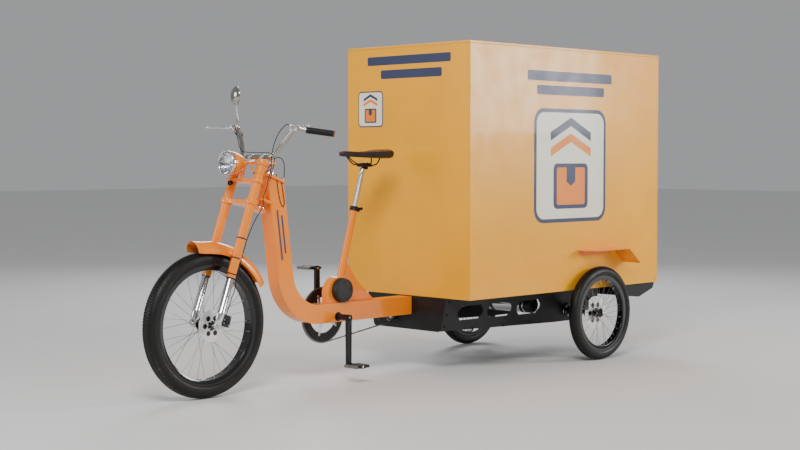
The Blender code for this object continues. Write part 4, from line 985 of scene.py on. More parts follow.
    def execute(self, context):
        sizes = context.scene.trike_sizes
        plans = (("front", "front_wheel_set", "front_wheel_spin", 0.034, 0.0, 0.026, (-0.059, 0.059), 0.0078),
                 ("rear_left", "rear_left_wheel_set", "rear_left_wheel_spin", 0.014, -0.011, 0.023,
                  (-0.046, 0.024), 0.0097),
                 ("rear_right", "rear_right_wheel_set", "rear_right_wheel_spin", 0.014, 0.011, 0.023,
                  (-0.024, 0.046), 0.0097))
        for name, body, spin, flange, offset, flange_radius, ends, bore in plans:
            centre = Vector(joint(spin)["pos_m"])
            size = span(f"{name}_tyre")
            radius, width = size.z / 2, size.x
            seat = 0.287 if name == "front" else 0.213
            rim_width = 0.062 if name == "front" else 0.046
            self.tyre(name, body, centre, radius, width, seat, sizes)
            self.rim(name, body, centre, seat, rim_width, flange, offset, flange_radius, sizes)
            self.hub(name, body, centre, flange, offset, flange_radius, ends, bore)
            rotor_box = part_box(f"{name}_rotor")
            rotor_x = (rotor_box[0].x + rotor_box[1].x) / 2 - centre.x
            self.rotor(name, body, centre, (rotor_box[1].z - rotor_box[0].z) / 2, rotor_x)
            valve = rod(centre + Vector((0, 0.004, seat - 0.05)), centre + Vector((0, 0.004, seat - 0.014)),
                        0.0028, 10)
            piece(f"{name}_valve", valve, "zinc", body)
        return {"FINISHED"}


BEAM_WIDTH = 0.084
BEAM_HALF = 0.049               # half the beam's depth
BEAM_HEIGHT = 0.355
BEAM_CORNER_AHEAD = 0.877
BEAM_LEAN = math.radians(7.5)
BEAM_BEND = 0.23
DECK = BEAM_HEIGHT + BEAM_HALF
HOUSING_CENTRE = (FRONT_Y - 0.518, 0.455)
HOUSING_RADIUS = 0.085
HOUSING_HALF = 0.0255
SEAT_FOOT = Vector((0, FRONT_Y - 0.505, 0.5))
SEAT_TUBE_RADIUS = 0.0185
SEAT_TUBE_LENGTH = 0.412
POST_RADIUS = 0.0136


def beam_line(offset, steps):
    """One side of the beam, at a distance from its middle line."""
    corner = Vector((FRONT_Y - BEAM_CORNER_AHEAD, BEAM_HEIGHT))
    rise = Vector((-math.sin(BEAM_LEAN), math.cos(BEAM_LEAN)))
    tangent = BEAM_BEND * math.tan((math.pi / 2 - BEAM_LEAN) / 2)
    centre = (corner.x + tangent, BEAM_HEIGHT + BEAM_BEND)
    top = corner + rise * 0.8 + Vector((-rise.y, rise.x)) * offset
    bend = arc(centre, BEAM_BEND + offset, math.pi + BEAM_LEAN, 1.5 * math.pi, steps)
    return [tuple(top)] + bend + [(FRONT_Y - 0.004, BEAM_HEIGHT - offset)]


def head_bore(radius):
    """A cutter along the steering axis."""
    return rod(RAKED @ Vector((0, 0, 0.05)), RAKED @ Vector((0, 0, -0.3)), radius, 40)


class TRIKE_OT_frame(TrikeOperator, bpy.types.Operator):
    """Main beam, head plates, crank housing, seat tube and their welds"""
    bl_idname = "trike.frame"
    bl_label = "Frame"

    def execute(self, context):
        edge = context.scene.trike_sizes.edge
        half = BEAM_WIDTH / 2
        outline = beam_line(BEAM_HALF, 40) + beam_line(-BEAM_HALF, 40)[::-1]
        top_cut = raked(block((-0.2, -0.3, -0.047), (0.2, 0.3, 0.5)))
        head_cut = head_bore(0.0219)
        bore = rod(CRANK - ALONG_X * 0.1, CRANK + ALONG_X * 0.1, 0.0165, 40)
        piece("main_beam_skin", prism(outline, -half, half), "paint", "frame", "main_beam", bevel=edge,
              segments=4, cuts=(top_cut, head_cut, bore))
        for side, way in SIDES:
            ring = turned([(0.0168, 0), (0.0225, 0), (0.0235, 0.001), (0.0235, 0.003), (0.0168, 0.003)],
                          CRANK + ALONG_X * way * (half - 0.0005), ALONG_X * way, 40, ring=True)
            piece(f"bracket_ring_{side}", ring, "coat", "frame", bevel=0.0005)
        shelf = raked(prism(oblong((-0.048, -0.04), (0.048, 0.03)),
                            -0.172, -0.158, "Z"))
        shelf_cut = rod(RAKED @ Vector((0, 0, -0.1)), RAKED @ Vector((0, 0, -0.3)), 0.0219, 40)
        piece("lower_head_plate", shelf, "paint", "frame", bevel=0.0025, cuts=(shelf_cut,))
        plate = raked(prism(rounded((-0.052, -0.066), (0.052, 0.076), 0.01), -0.0467, -0.033, "Z"))
        barrel = turned(oblong((0.0131, -0.196), (0.0215, -0.008)),
                        (0, 0, 0), UP, 48, ring=True)
        piece("top_head_plate", plate, "paint", "frame", "head_tube", bevel=0.0022,
              cuts=(head_bore(0.0131),))
        piece("head_barrel", raked(barrel), "paint", "frame", bevel=0.001)
        for name, low, high in (("upper", -0.031, -0.007), ("lower", -0.205, -0.192)):
            cup = turned([(0.0133, low), (0.024, low), (0.0255, low + 0.002), (0.0255, (low + high) / 2),
                          (0.0235, high - 0.002), (0.0225, high), (0.0133, high)],
                         (0, 0, 0), UP, 48, ring=True)
            piece(f"headset_cup_{name}", raked(cup), "chrome", "frame")
        self.housing(edge)
        self.seat_tube()
        self.marks()
        return {"FINISHED"}

    def housing(self, edge):
        y = HOUSING_CENTRE[0]
        outline = ([(y - HOUSING_RADIUS, DECK - 0.002)] + arc(HOUSING_CENTRE, HOUSING_RADIUS, math.pi, 0, 40)
                   + [(y + HOUSING_RADIUS, DECK - 0.002)])
        seat_cut = rod(SEAT_FOOT - SEAT_WAY * 0.01, SEAT_FOOT + SEAT_WAY * 0.5, SEAT_TUBE_RADIUS, 40)
        piece("crank_housing_skin", prism(outline, -HOUSING_HALF, HOUSING_HALF), "paint", "frame",
              "crank_housing", bevel=edge, segments=4, cuts=(seat_cut,))
        gusset = prism([(FRONT_Y - 0.5, DECK - 0.001), (FRONT_Y - 0.255, DECK - 0.001),
                        (FRONT_Y - 0.3, DECK + 0.036), (FRONT_Y - 0.38, 0.51), (FRONT_Y - 0.462, 0.625),
                        (FRONT_Y - 0.5, 0.56)], -0.006, 0.006)
        hollow = rod(SEAT_FOOT - SEAT_WAY * 0.1, SEAT_FOOT + SEAT_WAY * 0.5, SEAT_TUBE_RADIUS - 0.001, 40)
        piece("seat_gusset", gusset, "paint", "frame", bevel=0.002, cuts=(hollow,))
        base = []
        for way in (1, -1):
            run = [(way * (HOUSING_HALF + 0.0008), y + HOUSING_RADIUS * s, DECK + 0.0006)
                   for s in (-1 * way, -0.3 * way, 0.3 * way, 1 * way)]
            base += run
        weld("housing_weld", smooth_path(base[:4], 6), "frame")
        weld("housing_weld_right", smooth_path(base[4:], 6), "frame")
        for way in (1, -1):
            weld(f"gusset_weld_{'left' if way > 0 else 'right'}",
                 [(way * 0.0068, FRONT_Y - 0.43, DECK + 0.0008), (way * 0.0068, FRONT_Y - 0.262, DECK + 0.0008)],
                 "frame", 0.0018)
        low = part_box("housing_cover")[0].x
        centre = Vector((low, y, 0.47))
        cover = [(0, 0), (0.06, 0), (0.061, 0.001), (0.062, 0.004), (0.062, 0.0275), (0.0612, 0.031),
                 (0.0588, 0.0335), (0.056, 0.0345), (0.0535, 0.0345), (0.0527, 0.0325), (0.0505, 0.0325),
                 (0.0497, 0.0342), (0.02, 0.0348), (0, 0.0348)]
        piece("housing_cover_skin", turned(cover, centre, ALONG_X, 72), "plastic", "frame", "housing_cover",
              angle=30)
        bolt = screw_head(0.0042, 0.0028)
        stood(bolt, 90, (0.0343, 0, 0.04))
        ring_of("housing_cover_bolts", bolt, "gloss_black", "frame", 4, centre, turn=(0.12, 0, 0))
        notch = block((0.001, -0.0016, 0.0605), (0.027, 0.0016, 0.0628))
        ring_of("housing_cover_ribs", notch, "plastic", "frame", 36, centre, turn=(0, 0, 0))

    def seat_tube(self):
        foot = SEAT_FOOT - SEAT_WAY * 0.0115
        profile = [(0, 0), (SEAT_TUBE_RADIUS, 0), (SEAT_TUBE_RADIUS, 0.4225), (SEAT_TUBE_RADIUS - 0.001, 0.4235),
                   (POST_RADIUS + 0.0006, 0.4235), (POST_RADIUS + 0.0006, 0.045), (0, 0.045)]
        piece("seat_tube_skin", turned(profile, foot, SEAT_WAY, 48), "paint", "frame", "seat_tube")
        low = SEAT_FOOT + SEAT_WAY * (SEAT_TUBE_LENGTH - 0.018)
        outer = SEAT_TUBE_RADIUS + 0.006
        ring = turned([(SEAT_TUBE_RADIUS + 0.0003, 0), (outer, 0), (outer, 0.007), (outer - 0.0012, 0.009),
                       (outer - 0.0012, 0.013), (outer, 0.015), (outer, 0.022), (SEAT_TUBE_RADIUS + 0.0003, 0.022)],
                      low, SEAT_WAY, 48, ring=True)
        middle_ring = low + SEAT_WAY * 0.011
        piece("seat_collar_skin", ring, "coat", "frame", "seat_collar", bevel=0.0006)
        for way in (1, -1):
            ear = prism(rounded((way * 0.004 - 0.003, 0), (way * 0.004 + 0.003, 0.014), 0.0012, 3), 0, 0.018, "Z")
            upright = Matrix.Translation(low + SEAT_WAY * 0.002) @ Matrix.Rotation(
                -math.atan2(SEAT_WAY.y, SEAT_WAY.z), 4, "X") @ Matrix.Translation((0, SEAT_TUBE_RADIUS + 0.003, 0))
            piece(f"seat_collar_ear_{'left' if way > 0 else 'right'}", placed(ear, upright), "coat", "frame")
        pin_middle = middle_ring + Vector((0, SEAT_TUBE_RADIUS + 0.012, 0))
        pin = rod(pin_middle - ALONG_X * 0.013, pin_middle + ALONG_X * 0.02, 0.0035, 20)
        piece("seat_collar_pin", pin, "coat", "frame")
        handle = turned([(0, -0.002), (0.007, -0.001), (0.0085, 0.003), (0.0085, 0.01), (0.0065, 0.013),
                         (0, 0.0135)], pin_middle + ALONG_X * 0.014, ALONG_X, 32)
        piece("seat_collar_handle", handle, "coat", "frame")

    def marks(self):
        """Two plain painted bars up each of the beam's cheeks; the loop of cable beside them comes with the cables.
        """
        lean = Vector((0, -math.sin(BEAM_LEAN), math.cos(BEAM_LEAN)))
        across = Vector((0, lean.z, -lean.y))
        start = Vector((0, FRONT_Y - BEAM_CORNER_AHEAD, BEAM_HEIGHT)) + lean * 0.295
        for side, way in SIDES:
            for label, shift, low, high in (("inner", -0.013, 0.0, 0.255), ("outer", 0.013, 0.03, 0.225)):
                bm = prism(rounded((-0.0055, low), (0.0055, high), 0.0052, 6), 0, 0.0006, "X")
                for vert in bm.verts:
                    share = Vector(vert.co)
                    vert.co = (start + across * (share.y + shift) + lean * share.z
                               + ALONG_X * way * (BEAM_WIDTH / 2 + share.x))
                bmesh.ops.recalc_face_normals(bm, faces=bm.faces)
                piece(f"beam_mark_{label}_{side}", bm, "ink", "frame")


CROWN_Z = -0.02
CROWN = 0.014
LEG_TOP = 0.003
LEG_FOOT = -0.598
BRACE_Z = -0.116
CLAMP_Z = -0.224
SLIDER_RADIUS = LEG_RADIUS - 0.004
BAR_RADIUS = 0.0115
BAR_Y = -0.1
BAR_Z = 0.0305


def crown_top(y):
    """Height of the level top crown's upper face, along the steering axis."""
    return CROWN_Z + CROWN / math.cos(RAKE) + (y - LEG_Y) * math.tan(RAKE)


def yoke_plate(name, points, low, high, rise, level=False):
    """A fork plate with round ears about both legs, on the steering body."""
    outline = points + [(-x, y) for x, y in points[::-1]]
    plate = prism(outline, low, high, "Z")
    if level:
        pin = Matrix.Translation((0, LEG_Y, low))
        placed(plate, pin @ Matrix.Rotation(RAKE, 4, "X") @ pin.inverted())
    ears = [rod((way * LEG_X, LEG_Y, low - rise), (way * LEG_X, LEG_Y, high + rise), 0.03, 48)
            for way in (1, -1)]
    holes = [rod((way * LEG_X, LEG_Y, low - 0.05), (way * LEG_X, LEG_Y, high + 0.05), LEG_RADIUS - 0.0005, 48)
             for way in (1, -1)]
    made = new_object(name, plate, MATERIALS["paint"])
    boolean(made, "UNION", ears)
    boolean(made, "DIFFERENCE", holes)
    made.data.transform(RAKED)
    dress(made, "steering", (), 0.0018, 3)


class TRIKE_OT_fork(TrikeOperator, bpy.types.Operator):
    """Yoke plates, fork legs, sliders, axle and front brake"""
    bl_idname = "trike.fork"
    bl_label = "Fork"

    def execute(self, context):
        yoke_plate("fork_crown_plate",
                   [(0.06, LEG_Y - 0.022), (LEG_X, LEG_Y - 0.02), (LEG_X, LEG_Y + 0.026),
                    (0.03, LEG_Y + 0.06), (0.022, 0.018)], CROWN_Z, CROWN_Z + CROWN, 0.006, True)
        yoke_plate("fork_brace_plate", [(LEG_X, LEG_Y - 0.02), (LEG_X, LEG_Y + 0.02)],
                   BRACE_Z, BRACE_Z + 0.016, 0.001)
        yoke_plate("fork_clamp_plate",
                   [(0.04, LEG_Y - 0.006), (LEG_X, LEG_Y - 0.02), (LEG_X, LEG_Y + 0.022),
                    (0.036, LEG_Y + 0.046), (0.024, 0.022)], CLAMP_Z, CLAMP_Z + 0.02, 0.004)
        top = 0.052
        steerer = raked(turned([(0, CLAMP_Z + 0.004), (0.0125, CLAMP_Z + 0.004), (0.0125, top - 0.004),
                                (0.011, top), (0.007, top), (0.007, top - 0.006), (0, top - 0.006)],
                               (0, 0, 0), UP, 40))
        stack = raked(turned([(0.0126, -0.0055), (0.019, -0.0055), (0.0195, -0.004), (0.0195, 0.005),
                              (0.0175, 0.007), (0.0175, 0.015), (0.017, 0.0155), (0.0175, 0.016),
                              (0.0175, 0.034), (0.0126, 0.034)], (0, 0, 0), UP, 48, ring=True))
        piece("headset_stack", stack, "chrome", "steering", angle=30)
        piece("fork_steerer", steerer, "steel", "steering", "fork_yoke")
        nut = raked(turned([(0.0126, 0.038), (0.018, 0.038), (0.018, 0.05), (0.0168, 0.051),
                            (0.0126, 0.051)], (0, 0, 0), UP, 6, ring=True))
        piece("steerer_nut", nut, "steel", "steering", bevel=0.0006)
        tie = raked(block((-0.036, LEG_Y - 0.006, BRACE_Z + 0.01), (-0.024, LEG_Y + 0.006, CROWN_Z + 0.004)))
        piece("fork_tie", tie, "paint", "steering", bevel=0.002)
        for side, way in SIDES:
            self.leg(side, way)
            self.slider(side, way)
        clamps = [(RAKED @ Vector((way * (LEG_X + 0.012), LEG_Y - 0.0275, z)),
                   RAKED.to_3x3() @ Vector((0, -1, 0))) for way in (1, -1)
                  for z in (CROWN_Z + 0.007, BRACE_Z + 0.008, CLAMP_Z + 0.01)]
        spots_of("fork_clamp_bolts", screw_head(0.0042), "zinc", "steering", clamps)
        self.brake()
        return {"FINISHED"}

    def leg(self, side, way):
        top, foot, r = LEG_TOP, LEG_FOOT, LEG_RADIUS
        profile = [(0, top), (r - 0.002, top), (r, top - 0.002), (r, foot + 0.03), (r - 0.0006, foot + 0.029),
                   (r - 0.0006, foot + 0.026), (r, foot + 0.025), (r, foot + 0.0015), (r - 0.0012, foot),
                   (SLIDER_RADIUS + 0.0006, foot), (SLIDER_RADIUS + 0.0006, foot + 0.05), (0, foot + 0.05)]
        at = Vector((way * LEG_X, LEG_Y, 0))
        piece(f"fork_leg_skin_{side}", raked(turned(profile, at, UP, 64)), "paint", "steering",
              f"fork_leg_{side}", angle=30)
        cap = turned([(0, top + 0.0005), (0.014, top + 0.0005), (0.015, top - 0.001), (0.015, top - 0.003),
                      (0, top - 0.003)], at, UP, 40)
        piece(f"fork_cap_{side}", raked(cap), "chrome", "steering")
        hexagon = turned([(0, top), (0.0082, top), (0.0082, top + 0.0028), (0.0072, top + 0.0036),
                          (0, top + 0.0036)], at, UP, 6)
        piece(f"fork_cap_nut_{side}", raked(hexagon), "chrome", "steering")
        inside = SLIDER_RADIUS + 0.0003
        seal = turned([(inside, foot - 0.006), (inside + 0.0018, foot - 0.006), (inside + 0.0026, foot - 0.004),
                       (inside + 0.003, foot + 0.0005), (inside, foot + 0.0005)], at, UP, 48, ring=True)
        piece(f"fork_seal_{side}", raked(seal), "grip", "steering")

    def slider(self, side, way):
        x = way * LEG_X
        foot = AXLE_Z + 0.02
        at = Vector((x, LEG_Y, 0))
        r = SLIDER_RADIUS
        tube = turned([(0, LEG_FOOT + 0.14), (r, LEG_FOOT + 0.14), (r, foot + 0.052),
                       (r + 0.0014, foot + 0.049), (r + 0.0016, foot + 0.036), (r + 0.0006, foot + 0.03),
                       (r - 0.0002, foot + 0.012), (r - 0.003, foot + 0.002), (r - 0.006, foot - 0.004),
                       (0, foot - 0.004)], at, UP, 56)
        piece(f"slider_tube_{side}", raked(tube), "chrome", "fork_sliders", f"fork_slider_{side}", angle=30)
        lug = prism(capsule((LEG_Y, AXLE_Z), 0.0175, (LEG_Y, foot + 0.01), 0.013), x - 0.0095, x + 0.0095)
        piece(f"dropout_{side}", raked(lug), "chrome", "fork_sliders", bevel=0.0028, segments=4)
        end = turned([(0, 0), (0.013, 0), (0.013, 0.002), (0.0098, 0.0022), (0.0098, 0.009),
                      (0.0084, 0.01), (0, 0.01)], (x + way * 0.0093, LEG_Y, AXLE_Z), ALONG_X * way, 6)
        piece(f"axle_nut_{side}", raked(end), "steel", "fork_sliders")
        if way > 0:
            axle = rod((-LEG_X, LEG_Y, AXLE_Z), (LEG_X, LEG_Y, AXLE_Z), 0.0069, 32)
            piece("front_axle", raked(axle), "steel", "fork_sliders")

    def brake(self):
        x = 0.052
        shell = block((x - 0.016, LEG_Y + 0.046, AXLE_Z + 0.016), (x + 0.02, LEG_Y + 0.09, AXLE_Z + 0.072))
        slot = block((x - 0.0035, LEG_Y + 0.02, AXLE_Z - 0.02),
                     (x + 0.0035, LEG_Y + 0.0815, AXLE_Z + 0.1))
        window = block((x - 0.012, LEG_Y + 0.06, AXLE_Z + 0.03), (x + 0.012, LEG_Y + 0.1, AXLE_Z + 0.058))
        made = new_object("front_caliper_skin", shell, MATERIALS["plastic"])
        boolean(made, "DIFFERENCE", (slot, window))
        made.data.transform(RAKED)
        dress(made, "fork_sliders", "front_caliper", 0.004, 3)
        cap_low = Vector((x + 0.018, LEG_Y + 0.068, AXLE_Z + 0.044))
        piston = rod(cap_low, cap_low + ALONG_X * 0.0055, 0.0125, 32)
        piece("front_caliper_cap", raked(piston), "coat", "fork_sliders", bevel=0.0008)
        strap = prism([(LEG_Y + 0.02, AXLE_Z + 0.022), (LEG_Y + 0.06, AXLE_Z + 0.022),
                       (LEG_Y + 0.06, AXLE_Z + 0.054), (LEG_Y + 0.036, AXLE_Z + 0.05),
                       (LEG_Y + 0.02, AXLE_Z + 0.038)], x + 0.012, x + 0.019)
        piece("front_caliper_bracket", raked(strap), "coat", "fork_sliders", bevel=0.0018)
        foot = block((x + 0.012, LEG_Y + 0.018, AXLE_Z + 0.024), (LEG_X + 0.008, LEG_Y + 0.0275, AXLE_Z + 0.038))
        piece("front_caliper_foot", raked(foot), "coat", "fork_sliders", bevel=0.002)
        spots = [(RAKED @ Vector((x + 0.0192, LEG_Y + 0.052, AXLE_Z + z)), RAKED.to_3x3() @ ALONG_X)
                 for z in (0.03, 0.046)]
        spots += [(RAKED @ Vector((x + 0.0202, LEG_Y + 0.084, AXLE_Z + z)), RAKED.to_3x3() @ ALONG_X)
                  for z in (0.024, 0.064)]
        spots_of("front_caliper_bolts", screw_head(0.0036), "zinc", "fork_sliders", spots)


class TRIKE_OT_mudguard(TrikeOperator, bpy.types.Operator):
    """Front mudguard with its rolled edge and brackets"""
    bl_idname = "trike.mudguard"
    bl_label = "Mudguard"

    def execute(self, context):
        crown, half, drop, sheet = 0.404, 0.054, 0.058, 0.0022
        turns = [math.radians(28 + 73 * i / 56) for i in range(57)]
        arch = [math.pi * k / 24 for k in range(25)]
        outer = [(-half * math.cos(a), crown - drop + drop * math.sin(a) ** 0.9) for a in arch]
        inner = [(-(half - sheet) * math.cos(a), crown - drop + (drop - sheet) * math.sin(a) ** 0.9)
                 for a in arch]
        section = outer + inner[::-1]
        bm = bmesh.new()
        rings = []
        for i, turn in enumerate(turns):
            share = i / (len(turns) - 1)
            near_end = min(share, 1 - share)
            width = 1 - 0.1 * max(0.0, 1 - near_end / 0.06) ** 2
            flare = 0.012 * max(0.0, (share - 0.86) / 0.14) ** 2        # the front tip turns up
            rings.append([bm.verts.new((x * width, (r + flare) * math.cos(turn), (r + flare) * math.sin(turn)))
                          for x, r in section])
        count = len(section)
        for one, two in zip(rings, rings[1:]):
            for k in range(count):
                m = (k + 1) % count
                bm.faces.new((one[k], one[m], two[m], two[k]))
        bm.faces.new(rings[0])
        bm.faces.new(rings[-1])
        bmesh.ops.recalc_face_normals(bm, faces=bm.faces)
        middle_of_arch = Matrix.Translation((0, FRONT_AXLE.y, FRONT_AXLE.z))
        piece("mudguard_skin", placed(bm, middle_of_arch), "paint", "steering", "front_mudguard",
              bevel=0.0007, segments=2, angle=40)
        for side, way in SIDES:
            hem = [middle_of_arch @ Vector((way * (half - 0.0012), (crown - drop) * math.cos(a),
                                            (crown - drop) * math.sin(a))) for a in turns[2:-9]]
            piece(f"mudguard_hem_{side}", swept(hem, 0.0021, 10), "paint", "steering")
            stay_z = AXLE_Z + crown - drop + 0.004
            low, high = sorted((way * (half - 0.003), way * (LEG_X - LEG_RADIUS + 0.002)))
            stay = block((low, LEG_Y - 0.012, stay_z), (high, LEG_Y + 0.012, stay_z + 0.012))
            piece(f"mudguard_stay_{side}", raked(stay), "paint", "steering", bevel=0.002)
            band = turned(oblong((LEG_RADIUS - 0.0002, stay_z - 0.002), (LEG_RADIUS + 0.0016, stay_z + 0.014)),
                          (way * LEG_X, LEG_Y, 0), UP, 48, ring=True)
            piece(f"mudguard_band_{side}", raked(band), "paint", "steering", bevel=0.0004)
        bolts = [(RAKED @ Vector((way * (half - 0.0052), LEG_Y, stay_z + 0.006)), Vector((-way, 0, 0)))
                 for way in (1, -1)]
        spots_of("mudguard_bolts", screw_head(0.004), "zinc", "steering", bolts)
        return {"FINISHED"}


class TRIKE_OT_headlight(TrikeOperator, bpy.types.Operator):
    """Headlight bucket, rim, reflector, bulb and fluted lens"""
    bl_idname = "trike.headlight"
    bl_label = "Headlight"

    def execute(self, context):
        low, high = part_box("headlight_lens")
        face = low.y + 0.01
        centre = Vector((0, face, (low.z + high.z) / 2))
        radius = span("headlight_shell").x / 2
        bowl = [(radius - 0.002, 0.004), (radius - 0.0004, 0.006), (radius - 0.0004, 0.014), (0.0575, 0.03),
                (0.053, 0.048), (0.047, 0.066), (0.0385, 0.086), (0.027, 0.104), (0.014, 0.115), (0, 0.1175)]
        piece("headlight_bucket", turned(bowl + [(0, 0.113), (0.012, 0.111), (0.025, 0.1), (0.036, 0.083),
                                                  (0.0445, 0.064), (0.05, 0.048), (0.0545, 0.03),
                                                  (0.0565, 0.014), (0.0565, 0.004)], centre, ALONG_Y, 72),
              "paint", "steering", "headlight_shell")
        rim = turned([(0.0545, -0.0005), (0.0555, -0.003), (0.0585, -0.0042), (0.0602, -0.0025),
                      (0.0606, 0.002), (0.0606, 0.01), (0.0598, 0.0125), (0.0575, 0.013), (0.056, 0.004)],
                     centre, ALONG_Y, 96, ring=True)
        piece("headlight_rim", rim, "chrome", "steering", angle=50)
        gasket = turned(oblong((0.056, 0.0125), (0.0607, 0.0155)), centre,
                        ALONG_Y, 72, ring=True)
        piece("headlight_gasket", gasket, "grip", "steering")
        reflector = turned([(0.0555, 0.006), (0.048, 0.02), (0.037, 0.034), (0.022, 0.045), (0.008, 0.049),
                            (0.008, 0.051), (0.0235, 0.0475), (0.0385, 0.036), (0.0495, 0.0215), (0.0565, 0.007)],
                           centre, ALONG_Y, 72, ring=True)
        piece("headlight_reflector", reflector, "mirror", "steering", angle=50)
        bulb = turned([(0, 0.012), (0.005, 0.0135), (0.0085, 0.018), (0.0092, 0.024), (0.0078, 0.031),
                       (0.0055, 0.038), (0.0055, 0.049), (0, 0.049)], centre, ALONG_Y, 32)
        piece("headlight_bulb", bulb, "glass", "steering")
        cap = turned([(0, 0.009), (0.01, 0.01), (0.0135, 0.014), (0.0125, 0.015), (0, 0.012)], centre, ALONG_Y, 32)
        piece("headlight_bulb_shade", cap, "chrome", "steering")
        lens = turned([(0, -0.0095), (0.02, -0.0082), (0.038, -0.0048), (0.05, -0.0012), (0.0562, 0.0012),
                       (0.0562, 0.0036), (0.05, 0.0016), (0.038, -0.0018), (0.02, -0.0052), (0, -0.0065)],
                      centre, ALONG_Y, 72)
        piece("headlight_glass", lens, "glass", "steering", "headlight_lens", angle=60)
        stem_top = centre + Vector((0, 0.096, -0.022))
        stem = swept(smooth_path([stem_top, RAKED @ Vector((0, LEG_Y - 0.03, BRACE_Z + 0.03)),
                                  RAKED @ Vector((0, LEG_Y - 0.0195, BRACE_Z + 0.008))], 8), 0.0072, 20)
        piece("headlight_stem", stem, "paint", "steering")
        for side, way in SIDES:
            arm = swept(smooth_path([centre + Vector((way * 0.04, 0.074, 0)),
                                     centre + Vector((way * 0.056, 0.1, 0.002)),
                                     RAKED @ Vector((way * 0.066, LEG_Y - 0.02, -0.062))], 8), 0.005, 14)
            piece(f"headlight_arm_{side}", arm, "paint", "steering")
            clip = turned(oblong((LEG_RADIUS - 0.0002, -0.068), (LEG_RADIUS + 0.0022, -0.056)),
                          (way * LEG_X, LEG_Y, 0), UP, 48, ring=True)
            piece(f"headlight_clip_{side}", raked(clip), "paint", "steering", bevel=0.0005)
        visor_screw = [(centre + Vector((0, -0.0012, -0.0598)), Vector((0, 0, -1)))]
        spots_of("headlight_screw", screw_head(0.0028), "zinc", "steering", visor_screw)
        horn = RAKED @ Vector((-0.07, LEG_Y - 0.036, BRACE_Z - 0.014))
        shell = turned([(0, 0.022), (0.008, 0.02), (0.0115, 0.01), (0.0125, 0.0), (0.0118, -0.0012),
                        (0.0085, 0.001), (0.0085, 0.003), (0, 0.003)], horn, ALONG_Y, 40)
        piece("horn", shell, "plastic", "steering")
        return {"FINISHED"}


def bar_half():
    """The handlebar from its middle to the grip's tip, on the left, in the fork's own frame."""
    spots = [(0.2646, FRONT_Y - 0.965, 1.2925), (0.356, FRONT_Y - 0.874, 1.275),
             (0.225, FRONT_Y - 0.998, 1.302), (0.166, FRONT_Y - 1.018, 1.238)]
    root, tip, bend_top, bend_mid = [TO_FORK @ Vector(s) for s in spots]
    points = [Vector((0, BAR_Y, BAR_Z)), Vector((0.066, BAR_Y, BAR_Z)), Vector((0.1116, BAR_Y, BAR_Z + 0.006)),
              bend_mid, bend_top, root, tip]
    return points


